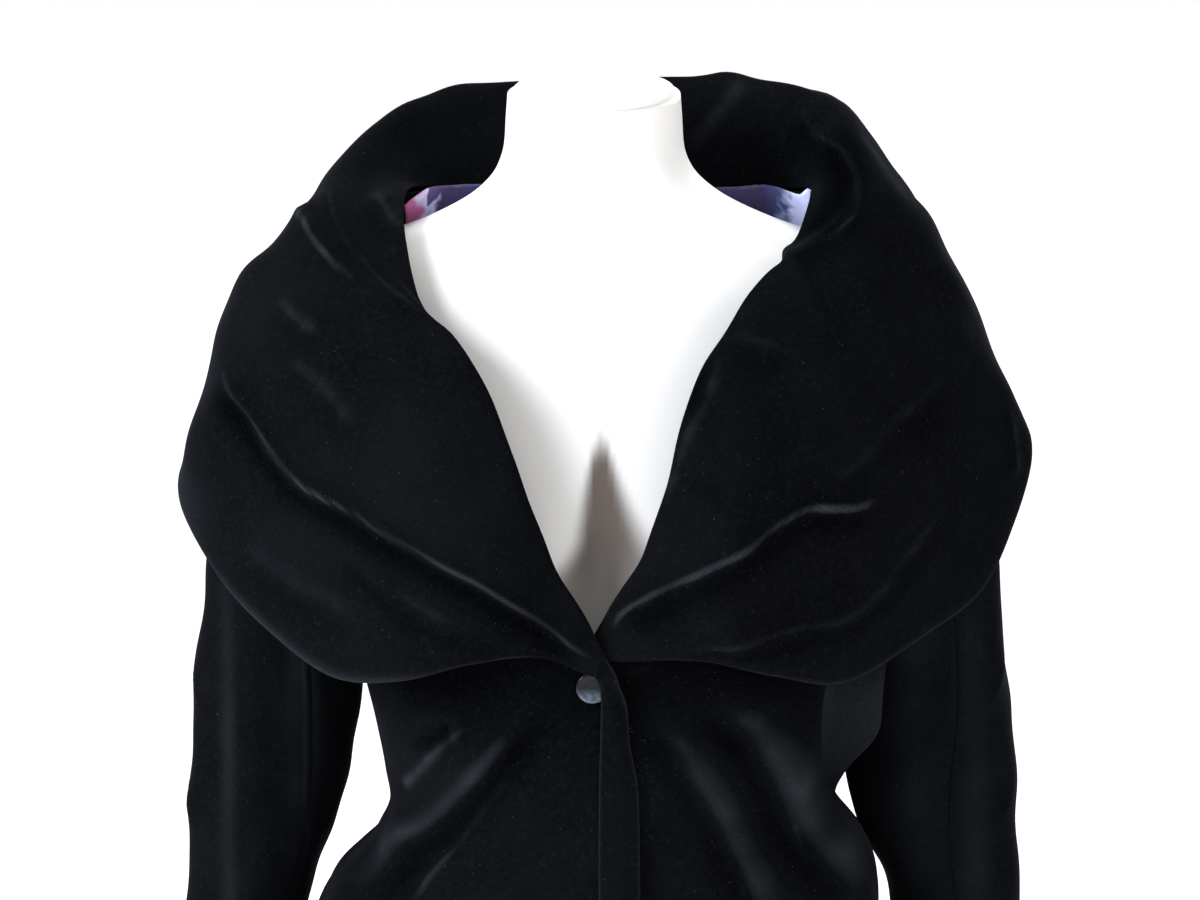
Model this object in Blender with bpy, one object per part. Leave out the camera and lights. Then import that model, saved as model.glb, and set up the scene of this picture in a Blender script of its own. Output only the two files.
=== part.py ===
"""Evening overcoat with a deep shawl collar, standing on a limbless dress form.

Metres, +Z up. The coat faces -Y and the wearer's right is at -X. The origin is on the floor,
under the middle of the form's base. Each piece of cloth is a wall of even thickness: a smooth
grid of points on its outer face, and the same grid moved in along its normals.
"""

import math

import bpy
import numpy as np

# Cloth
CLOTH = 0.002
COLLAR_CLOTH = 0.003
SEAM_GAP = 0.0004
ARMHOLE_GAP = 0.0013
SIDE_RADIUS = 0.16
SLEEVE_RADIUS = 0.05

# Heights of the coat
HEM = 0.36
UNDERARM = 1.19
SHOULDER_TOP = 1.4315
BREAK = 1.150

# Body of the coat
SQUARENESS = 2.3
NECK_HALF_RIGHT = 0.130
NECK_HALF_LEFT = 0.139
NECK_RELIEF = 0.070
SHOULDER_SLOPE_RIGHT = 0.70
SHOULDER_SLOPE_LEFT = 0.90
LAP_GAP = 0.0007
LAP_GAP_AT_HEM = 0.0040
LAP_HALF = 0.040

# Back neck lining
LINING_HALF = 0.136
LINING_DEPTH = 0.062
LINING_THICK = 0.001
LINING_BEHIND = 0.0046
LINING_BELOW_SEAM = 0.0020
LINING_BELOW_RIDGE = 0.0030
LINING_TAPER = 0.79
LINING_ROWS = 5

# Button and front band
BUTTON_PLACE = (-0.0047, 1.1294)
BUTTON_RADIUS = 0.0105
BUTTON_THICK = 0.0030
BAND_LIFT = 0.0056
BAND_TOP_LIFT = 0.0085
BAND_CROWN = 0.0016

# Dress form
CAP_THICK = 0.004
CAP_TILT = math.radians(10.9)
NECK_TOP = (-0.004, 0.020, 1.4965)
NECK_HALF_WIDTH = 0.0575
POLE_RADIUS = 0.014
FORM_BOTTOM = 0.78
BASE_RADIUS = 0.185
BASE_THICK = 0.014
BASE_ROUND = 0.004
FORM_SEGMENTS = 34
FORM_SQUARENESS = 0.93


class Table:
    """A short table with named columns, read as smooth curves along its first column."""

    def __init__(self, names, *rows):
        self.names = names.split()
        self.rows = np.array(rows, float)

    def column(self, name):
        return self.rows[:, self.names.index(name)]

    def read(self, name, at):
        return smooth_curve(self.rows[:, 0], self.column(name), at)


def smooth_curve(knots, values, at):
    """Cubic curve through values at rising knots, with central-difference tangents."""
    knots = np.asarray(knots, float)
    values = np.asarray(values, float)
    at = np.clip(np.asarray(at, float), knots[0], knots[-1])
    tangents = np.gradient(values, knots, axis=0)
    i = np.clip(np.searchsorted(knots, at, side="right") - 1, 0, len(knots) - 2)
    step = knots[i + 1] - knots[i]
    t = (at - knots[i]) / step
    shape = at.shape + (1,) * (values.ndim - 1)
    t = t.reshape(shape)
    step = step.reshape(shape)
    return (
        (2 * t**3 - 3 * t**2 + 1) * values[i]
        + (t**3 - 2 * t**2 + t) * step * tangents[i]
        + (3 * t**2 - 2 * t**3) * values[i + 1]
        + (t**3 - t**2) * step * tangents[i + 1]
    )


def ease(value, low, high):
    """0 below low, 1 above high, with a smooth step between."""
    t = np.clip((value - low) / (high - low), 0.0, 1.0)
    return t * t * (3 - 2 * t)


# Half widths to the wearer's right and left, depths before and behind, and the middle's y.
BODY = Table(
    "height right left front back middle",
    (0.360, 0.302, 0.298, 0.200, 0.230, 0.000),
    (0.600, 0.268, 0.264, 0.172, 0.190, 0.000),
    (0.800, 0.226, 0.222, 0.147, 0.152, 0.000),
    (0.900, 0.206, 0.198, 0.133, 0.125, 0.000),
    (0.940, 0.196, 0.192, 0.128, 0.112, 0.000),
    (0.965, 0.184, 0.190, 0.124, 0.104, 0.000),
    (0.985, 0.165, 0.186, 0.121, 0.100, 0.000),
    (1.000, 0.150, 0.178, 0.119, 0.098, 0.000),
    (1.018, 0.141, 0.163, 0.119, 0.098, 0.000),
    (1.045, 0.145, 0.155, 0.121, 0.101, 0.000),
    (1.075, 0.151, 0.155, 0.124, 0.104, 0.000),
    (1.105, 0.157, 0.157, 0.127, 0.106, 0.000),
    (1.150, 0.162, 0.165, 0.133, 0.107, 0.000),
    (1.190, 0.176, 0.178, 0.139, 0.106, 0.003),
    (1.240, 0.192, 0.194, 0.135, 0.103, 0.005),
    (1.300, 0.200, 0.202, 0.120, 0.094, 0.007),
    (1.360, 0.207, 0.208, 0.094, 0.072, 0.010),
    (1.400, 0.211, 0.211, 0.062, 0.042, 0.013),
    (1.420, 0.212, 0.212, 0.032, 0.021, 0.015),
    (1.4315, 0.212, 0.212, 0.000, 0.000, 0.016),
)

# Side seams in degrees round from the middle of the front.
SIDES = Table(
    "height right left",
    (0.360, 88, 88),
    (0.985, 88, 88),
    (1.011, 88, 84),
    (1.037, 88, 74),
    (1.055, 88, 70),
    (1.080, 88, 69),
    (1.110, 88, 70),
    (1.150, 88, 80),
    (1.190, 88, 88),
)

# How far the armhole's front and back edges stand from the middle.
ARMHOLE = Table(
    "height front back",
    (1.190, 0.1745, 0.1745),
    (1.220, 0.1690, 0.1730),
    (1.250, 0.1650, 0.1720),
    (1.300, 0.1640, 0.1720),
    (1.360, 0.1710, 0.1770),
    (1.410, 0.1830, 0.1850),
    (1.4315, 0.1900, 0.1900),
)

# Front edges below the break, as x at each height.
FRONT_EDGE = Table(
    "height right left",
    (0.360, 0.029, -0.036),
    (0.900, 0.025, -0.032),
    (1.000, 0.025, -0.030),
    (1.056, 0.0235, -0.028),
    (1.083, 0.019, -0.024),
    (1.113, 0.016, -0.018),
    (1.135, 0.009, -0.008),
    (1.150, 0.0015, 0.004),
)

# Front band: its fold edge and its inner edge, from the break down.
BAND = Table(
    "row edge_x edge_z inner_x inner_z",
    (0, 0.0030, 1.1520, -0.0042, 1.1386),
    (1, 0.0096, 1.1403, -0.0008, 1.1316),
    (2, 0.0125, 1.1310, 0.0002, 1.1230),
    (3, 0.0172, 1.1160, 0.0003, 1.1120),
    (4, 0.0195, 1.0900, -0.0002, 1.0900),
    (5, 0.0245, 1.0600, -0.0008, 1.0600),
    (6, 0.0260, 1.0000, -0.0010, 1.0000),
    (7, 0.0260, 0.9000, 0.0000, 0.9000),
    (8, 0.0270, 0.7200, 0.0000, 0.7200),
    (9, 0.0285, 0.5400, 0.0010, 0.5400),
    (10, 0.0300, 0.3600, 0.0020, 0.3600),
)

# Collar sections, from the break up to the side of the neck: the neckline seam, the roll line,
# the outer edge, and how far the fall stands out between the last two.
SECTION_NAMES = "row seam_x seam_y seam_z roll_x roll_y roll_z edge_x edge_y edge_z bulge"
COLLAR_RIGHT = Table(
    SECTION_NAMES,
    (0, 0.0010, -0.1395, 1.1480, 0.0022, -0.1475, 1.1535, -0.0050, -0.1465, 1.1395, 0.003),
    (1, -0.0400, -0.1350, 1.2010, -0.0250, -0.1470, 1.2070, -0.0380, -0.1490, 1.1500, 0.007),
    (2, -0.0600, -0.1290, 1.2450, -0.0440, -0.1460, 1.2510, -0.0820, -0.1440, 1.1440, 0.016),
    (3, -0.0760, -0.1160, 1.2880, -0.0590, -0.1350, 1.2940, -0.1270, -0.1330, 1.1310, 0.026),
    (4, -0.0920, -0.1000, 1.3200, -0.0750, -0.1180, 1.3260, -0.1730, -0.1120, 1.1290, 0.032),
    (5, -0.1060, -0.0840, 1.3450, -0.0940, -0.0980, 1.3470, -0.2170, -0.0860, 1.1540, 0.034),
    (6, -0.1160, -0.0680, 1.3680, -0.1130, -0.0860, 1.3610, -0.2530, -0.0580, 1.1850, 0.034),
    (7, -0.1240, -0.0450, 1.3950, -0.1410, -0.0660, 1.3870, -0.2845, -0.0080, 1.2260, 0.040),
    (8, -0.1290, -0.0150, 1.4190, -0.1690, -0.0300, 1.4190, -0.2820, 0.0450, 1.2450, 0.034),
    (9, -0.1280, 0.0150, 1.4330, -0.1720, 0.0100, 1.4400, -0.2620, 0.0950, 1.2550, 0.023),
    (10, -0.1180, 0.0400, 1.4340, -0.1570, 0.0450, 1.4640, -0.2280, 0.1400, 1.2600, 0.022),
    (11, -0.0950, 0.0630, 1.4300, -0.1230, 0.0850, 1.4910, -0.1700, 0.1800, 1.2620, 0.024),
    (12, -0.0600, 0.0800, 1.4270, -0.0780, 0.1100, 1.4980, -0.0950, 0.2070, 1.2620, 0.022),
)
COLLAR_BACK = (0.0, 0.092, 1.425, 0.0, 0.121, 1.500, 0.0, 0.216, 1.262, 0.022)
COLLAR_LEFT = Table(
    SECTION_NAMES,
    (0, 0.0095, -0.1342, 1.1510, 0.0020, -0.1405, 1.1610, 0.0110, -0.1425, 1.1480, 0.003),
    (1, 0.0420, -0.1345, 1.2070, 0.0250, -0.1470, 1.2140, 0.0630, -0.1450, 1.1470, 0.012),
    (2, 0.0590, -0.1290, 1.2520, 0.0420, -0.1450, 1.2580, 0.1140, -0.1350, 1.1340, 0.022),
    (3, 0.0740, -0.1080, 1.3080, 0.0570, -0.1260, 1.3150, 0.1600, -0.1130, 1.1260, 0.030),
    (4, 0.0920, -0.0880, 1.3420, 0.0770, -0.1020, 1.3480, 0.2110, -0.0870, 1.1500, 0.034),
    (5, 0.1140, -0.0600, 1.3830, 0.1090, -0.0760, 1.3860, 0.2530, -0.0600, 1.1760, 0.032),
    (6, 0.1270, -0.0400, 1.4040, 0.1430, -0.0550, 1.4050, 0.2790, -0.0250, 1.2170, 0.028),
    (7, 0.1350, -0.0150, 1.4210, 0.1700, -0.0300, 1.4290, 0.2935, 0.0050, 1.2560, 0.019),
    (8, 0.1390, 0.0050, 1.4310, 0.1720, -0.0050, 1.4510, 0.2880, 0.0400, 1.2650, 0.019),
    (9, 0.1380, 0.0250, 1.4340, 0.1630, 0.0200, 1.4710, 0.2740, 0.0780, 1.2680, 0.022),
    (10, 0.1230, 0.0480, 1.4310, 0.1420, 0.0600, 1.4940, 0.2460, 0.1220, 1.2680, 0.028),
    (11, 0.0950, 0.0670, 1.4270, 0.0980, 0.1000, 1.5040, 0.1850, 0.1720, 1.2650, 0.028),
    (12, 0.0560, 0.0820, 1.4250, 0.0600, 0.1130, 1.5030, 0.1050, 0.2050, 1.2620, 0.024),
)

# Sleeve sections from the shoulder to the cuff: outer and inner points, the middle's y, half
# the depth, and the front seam's place in degrees round from the outer point.
SLEEVE_NAMES = "row outer_x outer_z inner_x inner_z middle depth seam"
SLEEVE_RIGHT = Table(
    SLEEVE_NAMES,
    (0, 0.1930, 1.3960, 0.1775, 1.1880, 0.014, 0.066, 112),
    (1, 0.2060, 1.3920, 0.1860, 1.1810, 0.014, 0.067, 112),
    (2, 0.2220, 1.3720, 0.1860, 1.1720, 0.016, 0.067, 113),
    (3, 0.2370, 1.3350, 0.1810, 1.1610, 0.018, 0.066, 114),
    (4, 0.2500, 1.2800, 0.1745, 1.1480, 0.021, 0.064, 115),
    (5, 0.2620, 1.2150, 0.1680, 1.1300, 0.024, 0.061, 116),
    (6, 0.2720, 1.1500, 0.1650, 1.1080, 0.026, 0.059, 118),
    (7, 0.2795, 1.0900, 0.1640, 1.0850, 0.028, 0.058, 120),
    (8, 0.2830, 1.0200, 0.1770, 1.0200, 0.028, 0.055, 130),
    (9, 0.2860, 0.9470, 0.2010, 0.9470, 0.026, 0.051, 144),
    (10, 0.2950, 0.8800, 0.2180, 0.8800, 0.022, 0.048, 144),
    (11, 0.3110, 0.8000, 0.2380, 0.8000, 0.016, 0.046, 140),
)
SLEEVE_LEFT = Table(
    SLEEVE_NAMES,
    (0, 0.1930, 1.3960, 0.1795, 1.1880, 0.014, 0.066, 70),
    (1, 0.2060, 1.3920, 0.1880, 1.1810, 0.014, 0.067, 70),
    (2, 0.2220, 1.3720, 0.1880, 1.1720, 0.016, 0.067, 70),
    (3, 0.2380, 1.3350, 0.1830, 1.1610, 0.019, 0.066, 70),
    (4, 0.2510, 1.2800, 0.1765, 1.1480, 0.023, 0.064, 70),
    (5, 0.2640, 1.2150, 0.1710, 1.1300, 0.027, 0.061, 70),
    (6, 0.2740, 1.1500, 0.1690, 1.1080, 0.030, 0.058, 71),
    (7, 0.2820, 1.0900, 0.1670, 1.0850, 0.031, 0.057, 74),
    (8, 0.2870, 1.0200, 0.1720, 1.0200, 0.030, 0.055, 84),
    (9, 0.2910, 0.9470, 0.2000, 0.9470, 0.027, 0.051, 95),
    (10, 0.2970, 0.8800, 0.2160, 0.8800, 0.023, 0.048, 97),
    (11, 0.3110, 0.8000, 0.2350, 0.8000, 0.017, 0.046, 97),
)
BACK_SLEEVE_SEAM = 262.0
SLEEVE_COLUMNS = {(-1, True): 10, (-1, False): 8, (1, True): 8, (1, False): 10}

# Rings of the dress form's body: half width, depth before, depth behind, middle's y.
FORM = Table(
    "height half front back middle",
    (0.780, 0.142, 0.092, 0.098, 0.000),
    (0.860, 0.166, 0.100, 0.112, 0.000),
    (0.950, 0.146, 0.094, 0.092, 0.000),
    (1.020, 0.120, 0.085, 0.076, 0.000),
    (1.060, 0.116, 0.086, 0.072, 0.000),
    (1.120, 0.130, 0.100, 0.080, 0.000),
    (1.160, 0.143, 0.119, 0.088, 0.000),
    (1.200, 0.152, 0.126, 0.092, 0.000),
    (1.240, 0.158, 0.118, 0.093, 0.002),
    (1.290, 0.166, 0.099, 0.089, 0.005),
    (1.340, 0.174, 0.080, 0.074, 0.008),
    (1.370, 0.177, 0.068, 0.058, 0.011),
    (1.390, 0.173, 0.056, 0.0467, 0.014),
    (1.402, 0.152, 0.050, 0.036, 0.016),
    (1.414, 0.118, 0.049, 0.038, 0.018),
    (1.428, 0.088, 0.050, 0.046, 0.019),
    (1.442, 0.070, 0.051, 0.048, 0.020),
    (1.458, 0.061, 0.052, 0.050, 0.020),
    (1.475, 0.0585, 0.052, 0.051, 0.020),
    (1.485, 0.0575, 0.052, 0.052, 0.020),
)
BUST_HEIGHT = 1.195
BUST_HALF = 0.078
BUST_RISE = 0.007
HOLLOW_DEPTH = 0.016

# Folds pressed into a panel, as points (x, z) seen from the front, from one end to the other.
FOLD_NAMES = "x z"
COLLAR_FOLDS = {
    "right_main": (0.0075, 0.045, 0.012, Table(
        FOLD_NAMES, (-0.248, 1.318), (-0.197, 1.273), (-0.166, 1.249), (-0.124, 1.228),
        (-0.080, 1.205), (-0.043, 1.182), (-0.019, 1.164))),
    "right_shoulder": (0.0045, 0.014, 0.009, Table(
        FOLD_NAMES, (-0.200, 1.424), (-0.180, 1.398), (-0.160, 1.370), (-0.146, 1.352))),
    "right_upper": (0.0035, 0.016, 0.010, Table(
        FOLD_NAMES, (-0.206, 1.350), (-0.178, 1.324), (-0.150, 1.298))),
    "left_main": (0.0070, 0.016, 0.034, Table(
        FOLD_NAMES, (0.014, 1.166), (0.025, 1.177), (0.062, 1.198), (0.099, 1.227),
        (0.124, 1.244), (0.165, 1.249))),
    "left_lower": (0.0055, 0.020, 0.016, Table(
        FOLD_NAMES, (0.030, 1.157), (0.062, 1.166), (0.145, 1.171), (0.191, 1.200),
        (0.222, 1.226))),
    "left_upper": (0.0035, 0.018, 0.012, Table(
        FOLD_NAMES, (0.120, 1.256), (0.155, 1.272), (0.191, 1.289), (0.225, 1.308))),
}
FRONT_RIGHT_FOLDS = {
    "high_ridge": (0.0095, 0.012, 0.009, Table(
        FOLD_NAMES, (-0.040, 1.123), (-0.065, 1.092), (-0.095, 1.056), (-0.124, 1.034))),
    "low_ridge": (0.0060, 0.012, 0.009, Table(
        FOLD_NAMES, (-0.044, 1.092), (-0.077, 1.043), (-0.113, 0.991), (-0.130, 0.965))),
    "short_ridge": (0.0045, 0.009, 0.007, Table(
        FOLD_NAMES, (-0.078, 1.106), (-0.098, 1.095), (-0.120, 1.082))),
}
FRONT_LEFT_FOLDS = {
    "high_ridge": (0.0090, 0.014, 0.014, Table(
        FOLD_NAMES, (0.066, 1.132), (0.093, 1.114), (0.123, 1.078), (0.147, 1.039),
        (0.176, 1.002))),
    "low_ridge": (0.0060, 0.012, 0.011, Table(
        FOLD_NAMES, (0.040, 1.118), (0.059, 1.087), (0.077, 1.053), (0.098, 1.015),
        (0.118, 0.975))),
}
SKIRT_WAVES = 7
SKIRT_WAVE = 0.013
FLANK_POUCH = 0.036


def fold_height(folds, x, z):
    """How far the folds lift each point: each is highest on its line and falls away unevenly."""
    total = np.zeros(x.shape)
    for height, above, below, line in folds.values():
        ax, az = line.column("x"), line.column("z")
        lengths = np.hypot(np.diff(ax), np.diff(az))
        reached = np.concatenate([[0.0], np.cumsum(lengths)]) / lengths.sum()
        best = np.full(x.shape, np.inf)
        side = np.zeros(x.shape)
        along = np.zeros(x.shape)
        for k, length in enumerate(lengths):
            dx, dz = (ax[k + 1] - ax[k]) / length, (az[k + 1] - az[k]) / length
            if dx < 0:
                dx, dz = -dx, -dz
            ox = ax[k] if ax[k] < ax[k + 1] else ax[k + 1]
            oz = az[k] if ax[k] < ax[k + 1] else az[k + 1]
            t = np.clip((x - ox) * dx + (z - oz) * dz, 0.0, length)
            away_x, away_z = x - ox - t * dx, z - oz - t * dz
            distance = np.hypot(away_x, away_z)
            closer = distance < best
            best = np.where(closer, distance, best)
            side = np.where(closer, away_z * dx - away_x * dz, side)
            share = t / length if ax[k] < ax[k + 1] else 1 - t / length
            at = reached[k] + share * (reached[k + 1] - reached[k])
            along = np.where(closer, at, along)
        width = np.where(side >= 0, above, below)
        ends = ease(along, 0.0, 0.22) * (1 - ease(along, 0.72, 1.0))
        total += height * ends * np.exp(-((best / width) ** 2))
    return total


def lap_offset(z):
    """How far the right front lies ahead of the left one, more toward the hem."""
    return CLOTH + LAP_GAP + (LAP_GAP_AT_HEM - LAP_GAP) * (1 - ease(z, HEM, 0.93))


def surface_normals(surface, first, second, facing=1):
    """Unit normals of surface(first, second), from small steps along both."""
    step = 1e-4
    one = surface(first + step, second) - surface(first - step, second)
    two = surface(first, second + step) - surface(first, second - step)
    normals = np.cross(one, two) * facing
    return normals / np.maximum(np.linalg.norm(normals, axis=-1, keepdims=True), 1e-12)


def grid_normals(grid, facing):
    """Unit normals of a grid of points, on the side that facing (1 or -1) gives."""
    down = np.gradient(grid, axis=0)
    across = np.gradient(grid, axis=1)
    normals = np.cross(across, down) * facing
    return normals / np.maximum(np.linalg.norm(normals, axis=2, keepdims=True), 1e-12)


def material(name, colour, roughness, metallic=0.0):
    made = bpy.data.materials.new(name)
    made.use_nodes = True
    shader = made.node_tree.nodes["Principled BSDF"]
    shader.inputs["Base Color"].default_value = (*colour, 1.0)
    shader.inputs["Roughness"].default_value = roughness
    shader.inputs["Metallic"].default_value = metallic
    made.diffuse_color = (*colour, 1.0)
    return made


def add_mesh(name, points, faces, finish):
    mesh = bpy.data.meshes.new(name)
    mesh.from_pydata(points.tolist(), [], faces)
    mesh.materials.append(finish)
    mesh.shade_smooth()
    mesh.set_sharp_from_angle(angle=math.radians(40))
    obj = bpy.data.objects.new(name, mesh)
    bpy.context.scene.collection.objects.link(obj)
    return obj


def wall(name, grid, thickness, finish, facing=1, normals=None):
    """A sheet of cloth: grid is its outer face, and the inner one lies thickness behind it."""
    rows, columns = grid.shape[:2]
    if normals is None:
        normals = grid_normals(grid, facing)
    depth = np.broadcast_to(thickness, (rows, columns))[..., None]
    points = np.concatenate([grid, grid - normals * depth]).reshape(-1, 3)
    outer = np.arange(rows * columns).reshape(rows, columns)
    inner = outer + rows * columns

    def quads(a, b, c, d):
        return np.stack([a, b, c, d], axis=-1).reshape(-1, 4)

    rim = np.concatenate([outer[0, :-1], outer[:-1, -1], outer[-1, :0:-1], outer[:0:-1, 0]])
    after = np.roll(rim, -1)
    faces = np.concatenate([
        quads(outer[:-1, :-1], outer[:-1, 1:], outer[1:, 1:], outer[1:, :-1]),
        quads(inner[:-1, :-1], inner[1:, :-1], inner[1:, 1:], inner[:-1, 1:]),
        quads(after, rim, rim + rows * columns, after + rows * columns),
    ])
    if facing < 0:
        faces = faces[:, ::-1]
    return add_mesh(name, points, faces.tolist(), finish)


def neck_table(side):
    """The neckline seam from the break to the shoulder, by height."""
    sections = COLLAR_RIGHT if side < 0 else COLLAR_LEFT
    rows = zip(*(sections.column(name)[:10] for name in ("seam_z", "seam_x", "seam_y")))
    return Table("height x y", *rows)


def neck_half(x):
    return np.where(x < 0, NECK_HALF_RIGHT, NECK_HALF_LEFT)


def shoulder_slope(x):
    return np.where(x < 0, SHOULDER_SLOPE_RIGHT, SHOULDER_SLOPE_LEFT)


def shoulder_ridge(x):
    """Height of the shoulder seam at x, level across the neck."""
    return SHOULDER_TOP - shoulder_slope(x) * np.maximum(np.abs(x) - neck_half(x), 0.0)


def neck_relief(x):
    """How much the body's upper rings are raised at x, or lowered beyond the neck."""
    inside = NECK_RELIEF * np.maximum(1 - (x / neck_half(x)) ** 2, 0.0)
    return inside - shoulder_slope(x) * np.maximum(np.abs(x) - neck_half(x), 0.0)


def back_neckline(x):
    """Y and height of the back neckline seam at x."""
    names = ("seam_x", "seam_y", "seam_z")
    right = np.stack([COLLAR_RIGHT.column(name)[9:] for name in names], axis=1)
    left = np.stack([COLLAR_LEFT.column(name)[:8:-1] for name in names], axis=1)
    line = np.concatenate([right, [COLLAR_BACK[:3]], left])
    found = smooth_curve(line[:, 0], line[:, 1:], x)
    return found[..., 0], found[..., 1]


def body_points(angle, height, top):
    """Points of the coat's body at angles round from the front, where top gives the upper edge."""
    sine, cosine = np.sin(angle), np.cos(angle)
    half = np.where(sine < 0, BODY.read("right", height), BODY.read("left", height))
    x = half * np.sign(sine) * np.abs(sine) ** (2 / SQUARENESS)
    share = np.clip((height - UNDERARM) / (SHOULDER_TOP - UNDERARM), 0.0, 1.0)
    z = np.where(share > 0, UNDERARM + share * (top(x) - UNDERARM), height)
    level = z - neck_relief(x) * ease(z, 1.25, 1.37)
    depth = np.where(cosine > 0, -BODY.read("front", level), BODY.read("back", level))
    y = BODY.read("middle", level) + depth * np.abs(cosine) ** (2 / SQUARENESS)
    return np.stack([x, y, z], axis=-1)


def angle_at(x, height):
    """The angle whose body point has this x, on the front half."""
    half = np.where(x < 0, BODY.read("right", height), BODY.read("left", height))
    ratio = np.clip(np.abs(x) / half, 0.0, 1.0) ** (SQUARENESS / 2)
    return np.sign(x) * np.arcsin(ratio)


def side_angle(side, height, part):
    """Where a front or back panel ends: the side seam, and above it the armhole's edge."""
    seam = np.radians(SIDES.read("right" if side < 0 else "left", height))
    hole = angle_at(ARMHOLE.read(part, height), height)
    if part == "back":
        hole = math.pi - hole
    return np.where(height < UNDERARM, seam, hole) * side


def even_angles(start, end, height, columns, top):
    """Angles from start to end on each row, evenly spaced along the cloth."""
    fine = np.linspace(0.0, 1.0, 120)
    angle = start[:, None] + (end - start)[:, None] * fine
    points = body_points(angle, np.repeat(height[:, None], len(fine), axis=1), top)
    steps = np.linalg.norm(np.diff(points, axis=1), axis=2)
    length = np.concatenate([np.zeros((len(height), 1)), np.cumsum(steps, axis=1)], axis=1)
    wanted = np.linspace(0.0, 1.0, columns)
    rows = [np.interp(wanted * run[-1], run, each) for run, each in zip(length, angle)]
    return np.array(rows)


def skirt_waves(grid, angle):
    """Soft flares that grow from the hip down to the hem, as a way out along x and y."""
    grow = SKIRT_WAVE * (1 - ease(grid[..., 2], HEM, 0.93)) ** 1.3
    wave = grow * (np.cos(SKIRT_WAVES * angle + 0.6) + 0.35 * np.cos(3 * angle - 0.4))
    out = np.stack([np.sin(angle), -np.cos(angle), np.zeros_like(angle)], axis=-1)
    return grid + out * wave[..., None]


def flank_pouch(grid, angle):
    """Cloth of the back that pushes forward under the wearer's left arm."""
    degrees = np.degrees(angle)
    seam = SIDES.read("left", grid[..., 2])
    rise = ease(degrees - seam, 1.0, 7.5) * (1 - ease(degrees, 79, 100))
    rise = rise * ease(grid[..., 2], 1.020, 1.085) * (1 - ease(grid[..., 2], 1.125, 1.175))
    out = np.stack([0.95 * rise, -0.30 * rise, np.zeros_like(rise)], axis=-1)
    return grid + FLANK_POUCH * out


def heights_between(*stops):
    """Row heights: each stop is a height and the number of steps up to the next one."""
    rows = []
    for (low, steps), (high, _) in zip(stops, stops[1:]):
        rows.extend(np.linspace(low, high, steps, endpoint=False))
    return np.array(rows + [stops[-1][0]])


UPPER_ROWS = ((UNDERARM, 5), (1.35, 3), (1.41, 3), (SHOULDER_TOP, 0))
PANEL_ROWS = heights_between((HEM, 5), (0.80, 3), (0.93, 15), (BREAK, 3), *UPPER_ROWS)


def front_panel(side, columns):
    """One front, from its edge and neckline to the side seam and armhole, with its normals."""
    name = "right" if side < 0 else "left"
    neck = neck_table(side)
    rows = PANEL_ROWS
    edge = np.where(rows < BREAK, FRONT_EDGE.read(name, rows), neck.read("x", rows))
    inset = 0.0036 * ease(rows, BREAK, 1.17) + 0.0060 * ease(rows, 1.33, 1.37)
    edge = edge + side * inset
    start = angle_at(edge, rows)
    end = side_angle(side, rows, "front")
    end = end - side * SEAM_GAP / 2 / SIDE_RADIUS
    s = np.linspace(0.0, 1.0, columns)
    angle = even_angles(start, end, rows, columns, shoulder_ridge)
    height = np.repeat(rows[:, None], columns, axis=1)
    grid = body_points(angle, height, shoulder_ridge)
    pull = neck.read("y", rows) - grid[:, 0, 1]
    pull = np.where(rows > BREAK, pull, 0.0) * ease(rows, BREAK, 1.20)
    grid[..., 1] += pull[:, None] * (1 - s) ** 3
    grid[..., 1] -= ease(height, SHOULDER_TOP - 0.003, SHOULDER_TOP) * SEAM_GAP / 2
    grid = skirt_waves(grid, angle)
    normals = grid_normals(grid, side)
    folds = FRONT_RIGHT_FOLDS if side < 0 else FRONT_LEFT_FOLDS
    lift = fold_height(folds, grid[..., 0], grid[..., 2])
    if side < 0:
        lap = 1 - ease(-grid[..., 0], LAP_HALF, 2 * LAP_HALF)
        lift = lift + lap_offset(grid[..., 2]) * lap
    grid = grid + normals * lift[..., None]
    normals = grid_normals(grid, side)
    normals[:, -1] = body_normals(angle[:, -1], rows)
    return grid, shoulder_normals(grid, normals)


def body_normals(angle, height):
    """Normals of the body's surface, which both panels share at a seam."""

    def surface(angle, height):
        return skirt_waves(body_points(angle, height, shoulder_ridge), angle)

    return surface_normals(surface, angle, np.minimum(height, SHOULDER_TOP - 2e-4))


def shoulder_normals(grid, normals):
    """Upright normals along the shoulder seam, so that front and back meet face to face."""
    outside = ease(np.abs(grid[-1, :, 0]), 0.115, 0.128)[:, None]
    slope = shoulder_slope(grid[-1, :, 0])
    up = np.zeros_like(normals[-1])
    up[:, 0] = np.sign(grid[-1, :, 0]) * slope / np.hypot(1, slope)
    up[:, 2] = 1 / np.hypot(1, slope)
    mixed = normals[-1] * (1 - outside) + up * outside
    normals[-1] = mixed / np.linalg.norm(mixed, axis=1, keepdims=True)
    return normals


def back_top(x):
    """Upper edge of the back: the neckline seam, then the shoulder seam."""
    neckline = back_neckline(x)[1] - 4 * SEAM_GAP
    return np.minimum(np.where(np.abs(x) < 0.130, neckline, SHOULDER_TOP), shoulder_ridge(x))


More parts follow.
